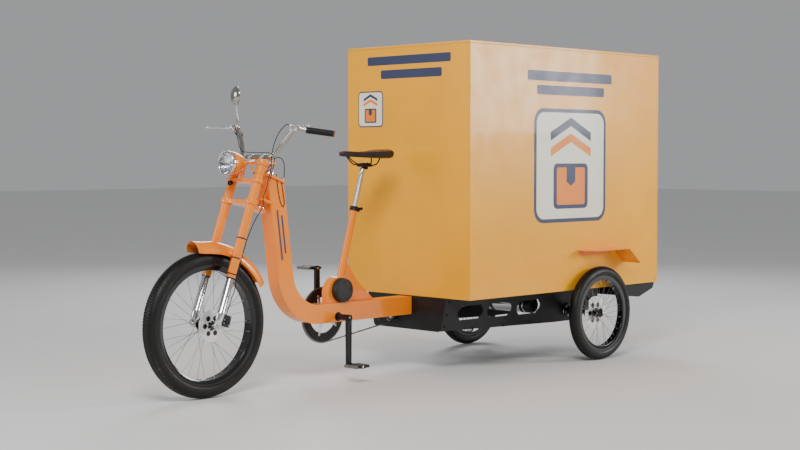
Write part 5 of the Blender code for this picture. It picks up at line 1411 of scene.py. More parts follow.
class TRIKE_OT_cockpit(TrikeOperator, bpy.types.Operator):
    """Handlebar, grips, brake levers and mirror"""
    bl_idname = "trike.cockpit"
    bl_label = "Handlebar and Controls"

    def execute(self, context):
        half = bar_half()
        path = smooth_path([mirrored(p, -1) for p in half[:0:-1]] + half, 10)
        piece("handlebar_skin", raked(swept(path, BAR_RADIUS, 28)), "bar_chrome", "steering", "handlebar")
        bar_z = half[0].z
        for side, way in SIDES:
            outline = ([(-0.116, crown_top(-0.116) - 0.001), (-0.084, crown_top(-0.084) - 0.001), (-0.084, bar_z)]
                       + arc((-0.1, bar_z), 0.016, 0, math.pi, 16))
            clamp = prism(outline, way * 0.045 - 0.01, way * 0.045 + 0.01)
            piece(f"bar_clamp_{side}", raked(clamp), "steel", "steering", bevel=0.0015)
            self.grip(side, way, half[5], half[6], context.scene.trike_sizes.knurl_rows)
            self.lever(side, way, half[4])
        self.mirror()
        return {"FINISHED"}

    def grip(self, side, way, root, tip, rows):
        start, end = RAKED @ mirrored(root, way), RAKED @ mirrored(tip, way)
        line = (end - start).normalized()
        length = (end - start).length + 0.01
        core = turned([(0.0118, 0), (0.016, 0), (0.016, 0.004), (0.0142, 0.006), (0.0142, length - 0.012),
                       (0.0156, length - 0.01), (0.0156, length - 0.007), (0.0118, length - 0.007)],
                      start, line, 40, ring=True)
        piece(f"grip_core_{side}", core, "grip", "steering", f"grip_{side}")
        cap = turned([(0, length - 0.0075), (0.0154, length - 0.0075), (0.016, length - 0.005),
                      (0.0148, length - 0.001), (0.011, length), (0, length)], start, line, 40)
        piece(f"grip_end_{side}", cap, "endcap", "steering")
        bumps = []
        pitch = (length - 0.022) / rows
        for i in range(rows * 2):
            shift = 0.009 + pitch * (i + 0.5) / 2
            turn = (i % 2) * math.pi / 16
            bump_shape = turned([(0, -0.001), (pitch * 0.55, -0.001), (pitch * 0.3, 0.0014), (0, 0.0016)],
                                (0, 0, 0), UP, 4)
            placed(bump_shape, Matrix.Rotation(turn, 4, "X") @ Matrix.Translation((shift, 0, 0.0142)))
            bumps.append(bump_shape)
        ring_of(f"grip_knurl_{side}", merged(*bumps), "grip", "steering", 16, start, line)

    def lever(self, side, way, bend_top):
        data = joint(f"{side}_brake_lever")
        hinge = Vector(data["pos_m"])
        body = f"{side}_lever"
        out = Vector((way * 0.985, -0.17, 0.02)).normalized()
        blade_path = smooth_path([hinge, hinge + out * 0.03 + Vector((0, -0.003, 0)), hinge + out * 0.075,
                                  hinge + out * 0.12 + Vector((0, 0.002, 0)), hinge + out * 0.158], 8)
        blade = swept(blade_path, lambda t: 0.0064 - 0.0024 * t, 20)
        for vert in blade.verts:
            vert.co.z = hinge.z + (vert.co.z - hinge.z) * 0.78
        piece(f"lever_blade_{side}", blade, "steel", body, f"brake_lever_{side}")
        ball = bmesh.new()
        bmesh.ops.create_uvsphere(ball, u_segments=24, v_segments=14, radius=0.0084,
                                  matrix=Matrix.Translation(hinge + out * 0.162))
        piece(f"lever_ball_{side}", ball, "steel", body)
        pivot_disc = turned([(0, -0.006), (0.0085, -0.006), (0.0092, -0.005), (0.0092, 0.005), (0.0085, 0.006),
                             (0, 0.006)], hinge, UP, 32)
        piece(f"lever_eye_{side}", pivot_disc, "steel", body)
        base = RAKED @ mirrored(bend_top, way)
        reach = hinge - base
        for label, lift in (("upper", 0.0078), ("lower", -0.0078)):
            cheek = swept([base + Vector((0, 0, lift * 0.5)), base.lerp(hinge, 0.55) + Vector((0, 0, lift)),
                           hinge + reach.normalized() * 0.002 + Vector((0, 0, lift))], 0.0024, 10)
            for vert in cheek.verts:
                middle_x = base.lerp(hinge, 0.5).x
                vert.co.x = middle_x + (vert.co.x - middle_x) * 1.6
            piece(f"lever_cheek_{label}_{side}", cheek, "chrome", "steering")
        screw = rod(hinge + UP * 0.0108, hinge - UP * 0.0108, 0.003, 16)
        piece(f"lever_screw_{side}", screw, "zinc", "steering")
        bar_way = (RAKED.to_3x3() @ mirrored(bar_half()[5] - bar_half()[3], way)).normalized()
        band = turned([(BAR_RADIUS - 0.0003, -0.008), (BAR_RADIUS + 0.0042, -0.008), (BAR_RADIUS + 0.0048, -0.006),
                       (BAR_RADIUS + 0.0048, 0.006), (BAR_RADIUS + 0.0042, 0.008), (BAR_RADIUS - 0.0003, 0.008)],
                      base, bar_way, 40, ring=True)
        piece(f"lever_band_{side}", band, "chrome", "steering", angle=30)
        barrel_start = base.lerp(hinge, 0.62)
        barrel = turned([(0, 0), (0.0046, 0), (0.005, 0.002), (0.005, 0.01), (0.0038, 0.012), (0.0038, 0.018),
                         (0, 0.018)], barrel_start, Vector((-way * 0.75, -0.25, -0.55)), 20)
        piece(f"lever_adjuster_{side}", barrel, "chrome", "steering")

    def mirror(self):
        foot = Vector(joint("mirror_turn")["pos_m"])
        body = "mirror_head"
        centre = Vector((-0.225, FRONT_Y - 1.009, 1.47))
        way = Vector((0.3, 0.95, 0)).normalized()
        knee = Vector((-0.217, FRONT_Y - 1.004, 1.365))
        neck = Vector((-0.222, FRONT_Y - 1.006, 1.42))
        stalk = swept(smooth_path([foot, foot.lerp(knee, 0.5) + Vector((0.003, 0, 0)), knee, neck,
                                   neck.lerp(centre, 0.5)], 8), lambda t: 0.0048 - 0.001 * t, 18)
        piece("mirror_stalk", stalk, "bar_chrome", body, "mirror")
        shell = turned([(0, -0.0215), (0.012, -0.0208), (0.024, -0.0178), (0.035, -0.0128), (0.044, -0.0062),
                        (0.0495, 0.0008), (0.0512, 0.0045), (0.05, 0.0066), (0.0472, 0.0058), (0.0465, 0.0042),
                        (0, 0.0042)], (0, 0, 0), UP, 64)
        for vert in shell.verts:        # a teardrop, drawn down towards its stalk
            down = max(0.0, -vert.co.y) / 0.0512
            vert.co.x *= 1 - 0.22 * down ** 1.5
        turn = way.to_track_quat("Z", "Y").to_matrix().to_4x4()
        piece("mirror_shell", placed(shell, Matrix.Translation(centre) @ turn), "bar_chrome", body)
        glass = turned([(0, 0.0046), (0.0455, 0.0046), (0.0462, 0.0041), (0, 0.0041)], (0, 0, 0), UP, 64)
        for vert in glass.verts:
            down = max(0.0, -vert.co.y) / 0.0512
            vert.co.x *= 1 - 0.22 * down ** 1.5
        piece("mirror_glass", placed(glass, Matrix.Translation(centre) @ turn), "mirror", body)
        collar = turned([(0.003, -0.006), (0.0085, -0.006), (0.0095, -0.004), (0.0095, 0.004), (0.0075, 0.007),
                         (0.003, 0.008)], foot, UP, 32, ring=True)
        piece("mirror_collar", collar, "chrome", body)


class TRIKE_OT_saddle(TrikeOperator, bpy.types.Operator):
    """Leather saddle, its rails, clamp and post"""
    bl_idname = "trike.saddle"
    bl_label = "Saddle"

    def execute(self, context):
        low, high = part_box("saddle")
        nose, tail = low.y, high.y
        length = tail - nose
        around = 48
        rows = 44
        plan = [(0.0, 0.016), (0.06, 0.0235), (0.14, 0.0265), (0.3, 0.03), (0.45, 0.039), (0.56, 0.054),
                (0.66, 0.073), (0.76, 0.0885), (0.85, 0.0925), (0.93, 0.086), (1.0, 0.07)]

        def half_width(share):
            for (a, wide_a), (b, wide_b) in zip(plan, plan[1:]):
                if share <= b:
                    t = (share - a) / (b - a)
                    t = t * t * (3 - 2 * t)
                    return wide_a + (wide_b - wide_a) * t
            return plan[-1][1]

        bm = bmesh.new()
        rings = []
        for i in range(rows + 1):
            share = 0.5 - 0.5 * math.cos(math.pi * i / rows)
            edge = min(1.0, math.sqrt(max(0.0, 1 - (1 - share / 0.055) ** 2)) if share < 0.055 else 1.0)
            if share > 0.9:
                edge = math.sqrt(max(0.0, 1 - ((share - 0.9) / 0.1) ** 2))
            edge = max(edge, 0.02)
            wide = half_width(share) * edge
            top = high.z - 0.012 + 0.012 * share + 0.004 * math.cos(share * 2 * math.pi) - 0.012 * (1 - edge)
            under = low.z + 0.012 * (1 - share) + 0.006 * (1 - edge)
            mid = under + (top - under) * 0.5
            ring = []
            for k in range(around):
                a = 2 * math.pi * (k + 0.5) / around
                c, s = math.cos(a), math.sin(a)
                x = wide * math.copysign(abs(c) ** (0.62 if s > 0 else 0.42), c)
                lift = abs(s) ** (0.85 if s > 0 else 0.55)
                z = mid + (top - mid) * lift if s > 0 else mid - (mid - under) * lift
                if s > 0:
                    z -= 0.0045 * math.exp(-(x / 0.012) ** 2) * min(1.0, share / 0.3) * edge
                else:
                    x *= 1 - 0.1 * lift
                ring.append(bm.verts.new((x, nose + length * share, z)))
            rings.append(ring)
        for one, two in zip(rings, rings[1:]):
            for k in range(around):
                m = (k + 1) % around
                face = bm.faces.new((one[k], one[m], two[m], two[k]))
                turn = (k + 1) / around * 360
                face.material_index = 0 if 32 < turn < 148 else 1
        bm.faces.new(rings[0])
        bm.faces.new(rings[-1])
        bmesh.ops.recalc_face_normals(bm, faces=bm.faces)
        made = new_object("saddle_pad", bm, MATERIALS["leather"])
        made.data.materials.append(MATERIALS["side_leather"])
        level = made.modifiers.new("smooth", "SUBSURF")
        level.levels = level.render_levels = 1
        settle(made)
        dress(made, "seat", "saddle", angle=80)

        # piping and stitches where the brown top meets the black skirt
        seam_step = round(around * 32 / 360)
        for way, k in ((1, seam_step), (-1, around - seam_step)):
            side = "left" if way > 0 else "right"
            a = 2 * math.pi * (seam_step + 0.0) / around
            seam = []
            for i in range(3, rows - 1):
                share = 0.5 - 0.5 * math.cos(math.pi * i / rows)
                row = rings_place(share, nose, length, high, low, half_width, a)
                seam.append(mirrored(row, way))
            piece(f"saddle_piping_{side}", swept(seam, 0.0013, 8), "side_leather", "seat")
            stitch = turned([(0, -0.0017), (0.0005, -0.0014), (0.0006, 0.0014), (0, 0.0017)], (0, 0, 0), ALONG_Y, 5)
            inner = [p + Vector((-way * 0.003, 0, 0.002)) for p in seam]
            along(f"saddle_stitches_{side}", stitch, "endcap", "seat", inner, 88)
        self.rails()
        return {"FINISHED"}

    def rails(self):
        low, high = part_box("saddle")
        nose = low.y
        post_top = SEAT_FOOT + SEAT_WAY * 0.63
        clamp_low = post_top.z + POST_RADIUS * math.sin(math.atan2(SEAT_WAY.y, SEAT_WAY.z)) + 0.0003
        under = low.z
        for side, way in SIDES:
            path = smooth_path([(way * 0.006, nose + 0.058, under + 0.008),
                                (way * 0.012, nose + 0.09, clamp_low + 0.026),
                                (way * 0.022, nose + 0.132, clamp_low + 0.0115),
                                (way * 0.022, nose + 0.236, clamp_low + 0.0115),
                                (way * 0.034, nose + 0.262, under + 0.008)], 8)
            piece(f"saddle_rail_{side}", swept(path, 0.0036, 14), "coat", "seat")
        bridge = rod((-0.01, nose + 0.058, under + 0.008), (0.01, nose + 0.058, under + 0.008), 0.004, 16)
        piece("saddle_bridge", bridge, "coat", "seat")
        y, z = post_top.y + 0.011, clamp_low
        lower = prism([(y - 0.024, z + 0.002), (y - 0.02, z), (y + 0.026, z), (y + 0.032, z + 0.003),
                       (y + 0.032, z + 0.0095), (y - 0.024, z + 0.0095)], -0.03, 0.03)
        piece("saddle_clamp_lower", lower, "coat", "seat", "saddle_rails", bevel=0.0018)
        upper = prism([(y - 0.022, z + 0.0125), (y + 0.03, z + 0.0125), (y + 0.026, z + 0.019),
                       (y + 0.004, z + 0.0215), (y - 0.018, z + 0.019)], -0.03, 0.03)
        piece("saddle_clamp_upper", upper, "coat", "seat", bevel=0.0018)
        bolts = [(Vector((0, y + s, z + 0.02)), UP) for s in (-0.014, 0.022)]
        spots_of("saddle_clamp_bolts", hex_head(0.004, 0.0036), "zinc", "seat", bolts)
        post_low = SEAT_FOOT + SEAT_WAY * 0.2
        length = 0.43
        profile = [(0, 0), (POST_RADIUS - 0.001, 0), (POST_RADIUS, 0.001)]
        for i in range(18):             # fine height marks turned into the post
            at = 0.215 + i * 0.01
            profile += [(POST_RADIUS, at - 0.0006), (POST_RADIUS - 0.0004, at), (POST_RADIUS, at + 0.0006)]
        profile += [(POST_RADIUS, length - 0.004), (POST_RADIUS - 0.002, length - 0.001), (0, length - 0.001)]
        piece("seat_post_skin", turned(profile, post_low, SEAT_WAY, 48), "steel", "seat", "seat_post", angle=60)
        knuckle = rod((-0.017, y + 0.004, z - 0.005), (0.017, y + 0.004, z - 0.005), 0.0088, 32)
        piece("seat_post_knuckle", knuckle, "coat", "seat")


def rings_place(share, nose, length, high, low, half_width, a):
    """A point on the saddle's skin, where its seam runs."""
    edge = 1.0
    if share < 0.055:
        edge = math.sqrt(max(0.0, 1 - (1 - share / 0.055) ** 2))
    if share > 0.9:
        edge = math.sqrt(max(0.0, 1 - ((share - 0.9) / 0.1) ** 2))
    edge = max(edge, 0.02)
    wide = half_width(share) * edge
    top = high.z - 0.012 + 0.012 * share + 0.004 * math.cos(share * 2 * math.pi) - 0.012 * (1 - edge)
    under = low.z + 0.012 * (1 - share) + 0.006 * (1 - edge)
    mid = under + (top - under) * 0.5
    x = wide * abs(math.cos(a)) ** 0.62
    return Vector((x, nose + length * share, mid + (top - mid) * abs(math.sin(a)) ** 0.85))


CHAIN_PITCH = 0.0127
RING_TEETH = 72
SPROCKET_TEETH = 16
CHAIN_X = -0.076
ARM_HALF = 0.0085


def belt(big, big_radius, small, small_radius, shift, step):
    """Points round two wheels, evenly spaced, starting a little way along."""
    outline = [Vector(p) for p in capsule(big, big_radius, small, small_radius, 400)]
    outline.append(outline[0])
    runs = [(b - a).length for a, b in zip(outline, outline[1:])]
    total = sum(runs)
    count = round(total / step / 2) * 2
    spacing = total / count
    points = []
    for i in range(count):
        goal = (i * spacing + shift * spacing) % total
        k = 0
        while goal > runs[k]:
            goal -= runs[k]
            k += 1
        points.append(outline[k].lerp(outline[k + 1], goal / runs[k]))
    return points


class TRIKE_OT_drive(TrikeOperator, bpy.types.Operator):
    """Chainring, spider, cranks, pedals, chain, sprocket and generator"""
    bl_idname = "trike.drive"
    bl_label = "Drive"

    def teeth(self, count, pitch_radius, centre, low, high, gap_at, tip, root):
        outline = []
        for i in range(count):
            for share, out in ((0.14, root), (0.3, tip - 0.0012), (0.42, tip), (0.58, tip), (0.7, tip - 0.0012),
                               (0.86, root), (1.0, root - 0.0006)):
                a = gap_at + 2 * math.pi * (i + share) / count
                out_radius = pitch_radius + out
                outline.append((centre.y + out_radius * math.cos(a), centre.z + out_radius * math.sin(a)))
        return prism(outline, low, high)

    def execute(self, context):
        ring_pitch = CHAIN_PITCH * RING_TEETH / (2 * math.pi)
        sprocket_pitch = CHAIN_PITCH * SPROCKET_TEETH / (2 * math.pi)
        big, small = (CRANK.y, CRANK.z), (SPROCKET.y, SPROCKET.z)
        rollers = belt(big, ring_pitch, small, sprocket_pitch, 0, CHAIN_PITCH)
        self.chainring(ring_pitch, rollers)
        self.chain(big, ring_pitch, small, sprocket_pitch, rollers)
        for side, way in SIDES:
            self.arm(side, way)
            self.pedal(side, way)
        self.generator(sprocket_pitch, rollers)
        return {"FINISHED"}

    def nearest_turn(self, centre, rollers):
        near = min(rollers, key=lambda p: (p - Vector((centre.y, centre.z))).length)
        return math.atan2(near.y - centre.z, near.x - centre.y)

    def chainring(self, pitch, rollers):
        gap_at = self.nearest_turn(CRANK, rollers)
        low, high = CHAIN_X - 0.0015, CHAIN_X + 0.0015
        blank = self.teeth(RING_TEETH, pitch, CRANK, low, high, gap_at, 0.0024, -0.004)
        inner = pitch * 0.66
        hole = prism(arc((CRANK.y, CRANK.z), inner, 0, 2 * math.pi * 71 / 72, 71), low - 0.01, high + 0.01)
        piece("chainring_band", blank, "coat", "crank_set", "chainring", cuts=(hole,), angle=25)
        lip = turned([(inner - 0.001, -0.0035), (inner + 0.005, -0.0035), (pitch - 0.017, -0.0026),
                      (pitch - 0.015, -0.0014), (pitch - 0.015, 0.0014), (pitch - 0.017, 0.0026),
                      (inner + 0.005, 0.0035), (inner - 0.001, 0.0035)],
                     (CHAIN_X, CRANK.y, CRANK.z), ALONG_X, 96, ring=True)
        piece("chainring_lip", lip, "coat", "crank_set", angle=25)
        arm = prism([(0.018, -0.0105), (inner - 0.004, -0.006), (inner + 0.014, -0.007), (inner + 0.018, 0),
                     (inner + 0.014, 0.007), (inner - 0.004, 0.006), (0.018, 0.0105)], -0.004, 0.004, "Z")
        stood(arm, -90)
        bevel_shape(arm, 0.0012)
        ring_of("chainring_spider", arm, "steel", "crank_set", 5, (CHAIN_X, CRANK.y, CRANK.z), turn=(0.35, 0, 0))
        boss = turned([(0.0155, -0.006), (0.025, -0.006), (0.0265, -0.004), (0.0265, 0.004), (0.025, 0.006),
                       (0.0155, 0.006)], (CHAIN_X, CRANK.y, CRANK.z), ALONG_X, 48, ring=True)
        piece("chainring_boss", boss, "coat", "crank_set", angle=25)
        for label, out in (("outer", -1), ("inner", 1)):
            bolt = screw_head(0.005, 0.0026)
            stood(bolt, 90 * out, (out * 0.0038, 0, inner + 0.0095))
            ring_of(f"chainring_bolts_{label}", bolt, "zinc", "crank_set", 5, (CHAIN_X, CRANK.y, CRANK.z),
                    turn=(0.35, 0, 0))

    def chain(self, big, ring_pitch, small, sprocket_pitch, rollers):
        count = len(rollers)
        line = [Vector((CHAIN_X, p.x, p.y)) for p in rollers]
        roller = turned([(0, -0.004), (0.0018, -0.004), (0.0018, -0.0022), (0.0039, -0.0022), (0.0039, 0.0022),
                         (0.0018, 0.0022), (0.0018, 0.004), (0, 0.004)], (0, 0, 0), ALONG_X, 8)
        along("chain_rollers", roller, "dark_steel", "frame", line, count, "chain", True)
        for label, shift, x, tall in (("inner", 0.5, 0.0026, 0.0041), ("outer", 1.5, 0.0034, 0.004)):
            plates = []
            for way in (1, -1):
                outline = []
                for i in range(16):
                    a = 2 * math.pi * i / 16
                    y = (CHAIN_PITCH / 2 + tall) * math.cos(a)
                    waist = 0.72 + 0.28 * min(1.0, abs(y) / (CHAIN_PITCH / 2))
                    outline.append((y, tall * math.copysign(abs(math.sin(a)) ** 0.5, math.sin(a)) * waist))
                low, high = sorted((way * x, way * (x + 0.0007)))
                plates.append(prism(outline, low, high))
            points = belt(big, ring_pitch, small, sprocket_pitch, shift, CHAIN_PITCH)[::2]
            path = [Vector((CHAIN_X, p.x, p.y)) for p in points]
            along(f"chain_{label}_plates", merged(*plates), "dark_steel", "frame", path, count // 2, "chain", True,
                  replaces="drive_chain" if label == "inner" else ())

    def arm(self, side, way):
        x = way * 0.1215
        drop = Vector(joint(f"{side}_pedal_spin")["pos_m"]).z - CRANK.z
        eye = (CRANK.y, CRANK.z + drop)
        outline = capsule((CRANK.y, CRANK.z), 0.0165, eye, 0.014, 24)
        groove = capsule((CRANK.y, CRANK.z + drop * 0.16), 0.006, (CRANK.y, CRANK.z + drop * 0.84), 0.005, 12)
        outside = x + way * ARM_HALF
        cut = prism(groove, *sorted((outside - way * 0.0022, outside + way * 0.01)))
        hole = rod((x - 0.02, eye[0], eye[1]), (x + 0.02, eye[0], eye[1]), 0.0066, 32)
        piece(f"crank_arm_skin_{side}", prism(outline, x - ARM_HALF, x + ARM_HALF), "coat", "crank_set",
              f"crank_arm_{side}", bevel=0.0022, segments=3, cuts=(cut, hole))
        if way > 0:
            start, end = CRANK + ALONG_X * 0.0862, CRANK + ALONG_X * (0.1215 + ARM_HALF + 0.0055)
        else:
            start, end = CRANK + ALONG_X * 0.0858, CRANK - ALONG_X * (0.1215 + ARM_HALF + 0.0055)
        length = (end - start).length
        spindle = turned([(0, 0), (0.0155, 0), (0.0155, length - 0.001), (0.0145, length), (0.0105, length),
                          (0.01, length - 0.001), (0.01, length - 0.006), (0, length - 0.006)],
                         start, end - start, 48)
        piece(f"crank_spindle_{side}", spindle, "coat", "crank_set", angle=30)
        bolt = turned([(0, length - 0.0062), (0.007, length - 0.0062), (0.007, length - 0.002),
                       (0.006, length - 0.001), (0.0036, length - 0.001), (0.0036, length - 0.004),
                       (0, length - 0.004)], start, end - start, 6)
        piece(f"crank_bolt_{side}", bolt, "dark_steel", "crank_set")

    def pedal(self, side, way):
        body = f"{side}_pedal"
        low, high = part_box(f"pedal_{side}")
        spin = Vector(joint(f"{side}_pedal_spin")["pos_m"])
        inside = 0.1215 + ARM_HALF + 0.004
        outside = max(abs(low.x), abs(high.x))
        z = spin.z
        barrel = turned([(0.0066, 0), (0.01, 0), (0.011, 0.002), (0.011, 0.018), (0.0092, 0.022),
                         (0.0092, outside - inside - 0.01), (0.0104, outside - inside - 0.006),
                         (0.01, outside - inside - 0.001), (0.0066, outside - inside - 0.001)],
                        (way * inside, CRANK.y, z), ALONG_X * way, 36, ring=True)
        piece(f"pedal_barrel_{side}", barrel, "coat", body, f"pedal_{side}")
        cap = turned([(0, 0), (0.0066, 0), (0.0066, 0.001), (0.004, 0.0018), (0, 0.0018)],
                     (way * (outside - 0.003), CRANK.y, z), ALONG_X * way, 24)
        piece(f"pedal_cap_{side}", cap, "chrome", body)
        pin = turned([(0, 0), (0.006, 0), (0.006, 0.012), (0.0088, 0.0125), (0.0088, 0.0165), (0.0062, 0.0168),
                      (0.0062, 0.03), (0, 0.03)], (way * (0.1215 - ARM_HALF), CRANK.y, z), ALONG_X * way, 24)
        piece(f"pedal_pin_{side}", pin, "steel", body)
        span_x = outside - inside
        for front in (1, -1):
            count = 9
            outline = [(0, -0.006)]
            for i in range(count):
                at = span_x * i / count
                outline += [(at, -0.009), (at + span_x / count * 0.5, -0.0065)]
            outline.append((span_x, -0.009))
            for i in range(count, 0, -1):
                at = span_x * i / count
                outline += [(at, 0.009), (at - span_x / count * 0.5, 0.0065)]
            outline.append((0, 0.006))
            rail = prism([(way * (inside + a), z + b) for a, b in outline],
                         *sorted((CRANK.y + front * 0.044, CRANK.y + front * 0.0405)), "Y")
            label = "front" if front < 0 else "back"
            piece(f"pedal_cage_{label}_{side}", rail, "dark_steel", body, bevel=0.0005)
            low_x, high_x = sorted((way * (inside + span_x * 0.3), way * (inside + span_x * 0.7)))
            strip = prism(rounded((low_x, z - 0.0045), (high_x, z + 0.0045), 0.002, 4),
                          *sorted((CRANK.y + front * 0.0403, CRANK.y + front * 0.037)), "Y")
            piece(f"pedal_reflector_{label}_{side}", strip, "sign_orange", body, bevel=0.0006)
        for label, at in (("inner", inside + 0.0035), ("outer", outside - 0.0055)):
            end = prism([(CRANK.y - 0.0412, z - 0.0055), (CRANK.y - 0.012, z - 0.0085),
                         (CRANK.y + 0.012, z - 0.0085),
                         (CRANK.y + 0.0412, z - 0.0055), (CRANK.y + 0.0412, z + 0.0055),
                         (CRANK.y + 0.012, z + 0.0085), (CRANK.y - 0.012, z + 0.0085),
                         (CRANK.y - 0.0412, z + 0.0055)], way * at - 0.0028, way * at + 0.0028)
            piece(f"pedal_bar_{label}_{side}", end, "coat", body, bevel=0.0008)
        for label, at_y in (("front", -0.024), ("back", 0.024)):
            low_x, high_x = sorted((way * (inside + 0.005), way * (outside - 0.007)))
            rib = block((low_x, CRANK.y + at_y - 0.009, z - 0.0072), (high_x, CRANK.y + at_y + 0.009, z + 0.0072))
            piece(f"pedal_pad_{label}_{side}", rib, "plastic", body, bevel=0.002)

    def generator(self, pitch, rollers):
        gap_at = self.nearest_turn(SPROCKET, rollers)
        blank = self.teeth(SPROCKET_TEETH, pitch, SPROCKET, CHAIN_X - 0.0014, CHAIN_X + 0.0014, gap_at,
                           0.0024, -0.004)
        piece("sprocket_skin", blank, "steel", "sprocket", "generator_sprocket", angle=25)
        hub = turned([(0, -0.008), (0.01, -0.008), (0.011, -0.006), (0.016, -0.002), (0.016, 0.002),
                      (0.011, 0.006), (0.01, 0.018), (0.006, 0.019), (0, 0.019)],
                     (CHAIN_X, SPROCKET.y, SPROCKET.z), ALONG_X, 32)
        piece("sprocket_hub", hub, "steel", "sprocket", angle=25)
        low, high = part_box("generator")
        reach = high.x - low.x
        shaft = rod((low.x + 0.045, SPROCKET.y, SPROCKET.z), (CHAIN_X - 0.006, SPROCKET.y, SPROCKET.z), 0.0058, 20)
        piece("sprocket_shaft", shaft, "steel", "sprocket")
        body = turned([(0, 0), (0.024, 0), (0.029, 0.003), (0.031, 0.008), (0.031, 0.02), (0.0295, 0.022),
                       (0.0295, reach - 0.022), (0.031, reach - 0.02), (0.031, reach - 0.006),
                       (0.028, reach), (0.0066, reach), (0.0066, reach - 0.02), (0, reach - 0.02)],
                      (low.x, SPROCKET.y, SPROCKET.z), ALONG_X, 64)
        piece("generator_skin", body, "coat", "frame", "generator", angle=30)
        rib = block((0, -0.0009, 0.0285), (reach - 0.046, 0.0009, 0.0308))
        ring_of("generator_ribs", rib, "coat", "frame", 28, (low.x + 0.023, SPROCKET.y, SPROCKET.z), turn=(0, 0, 0))
        foot = block((low.x + 0.014, SPROCKET.y + 0.02, SPROCKET.z - 0.018),
                     (high.x - 0.014, high.y, SPROCKET.z + 0.018))
        piece("generator_foot", foot, "coat", "frame", bevel=0.002)


def bevel_shape(bm, width):
    """Rounds every edge of a mesh under construction."""
    bmesh.ops.bevel(bm, geom=list(bm.edges) + list(bm.verts), offset=width, segments=2, affect="EDGES",
                    profile=0.7, clamp_overlap=True)
    bmesh.ops.recalc_face_normals(bm, faces=bm.faces)
    return bm


CHASSIS_TOP = 0.4067
FOOT_FRONT = 0.226


def chassis_x(z):
    """Distance of a chassis plate's outer face from the middle, at a height."""
    return 0.3 - 0.048 * (CHASSIS_TOP - z) / (CHASSIS_TOP - FOOT_FRONT)


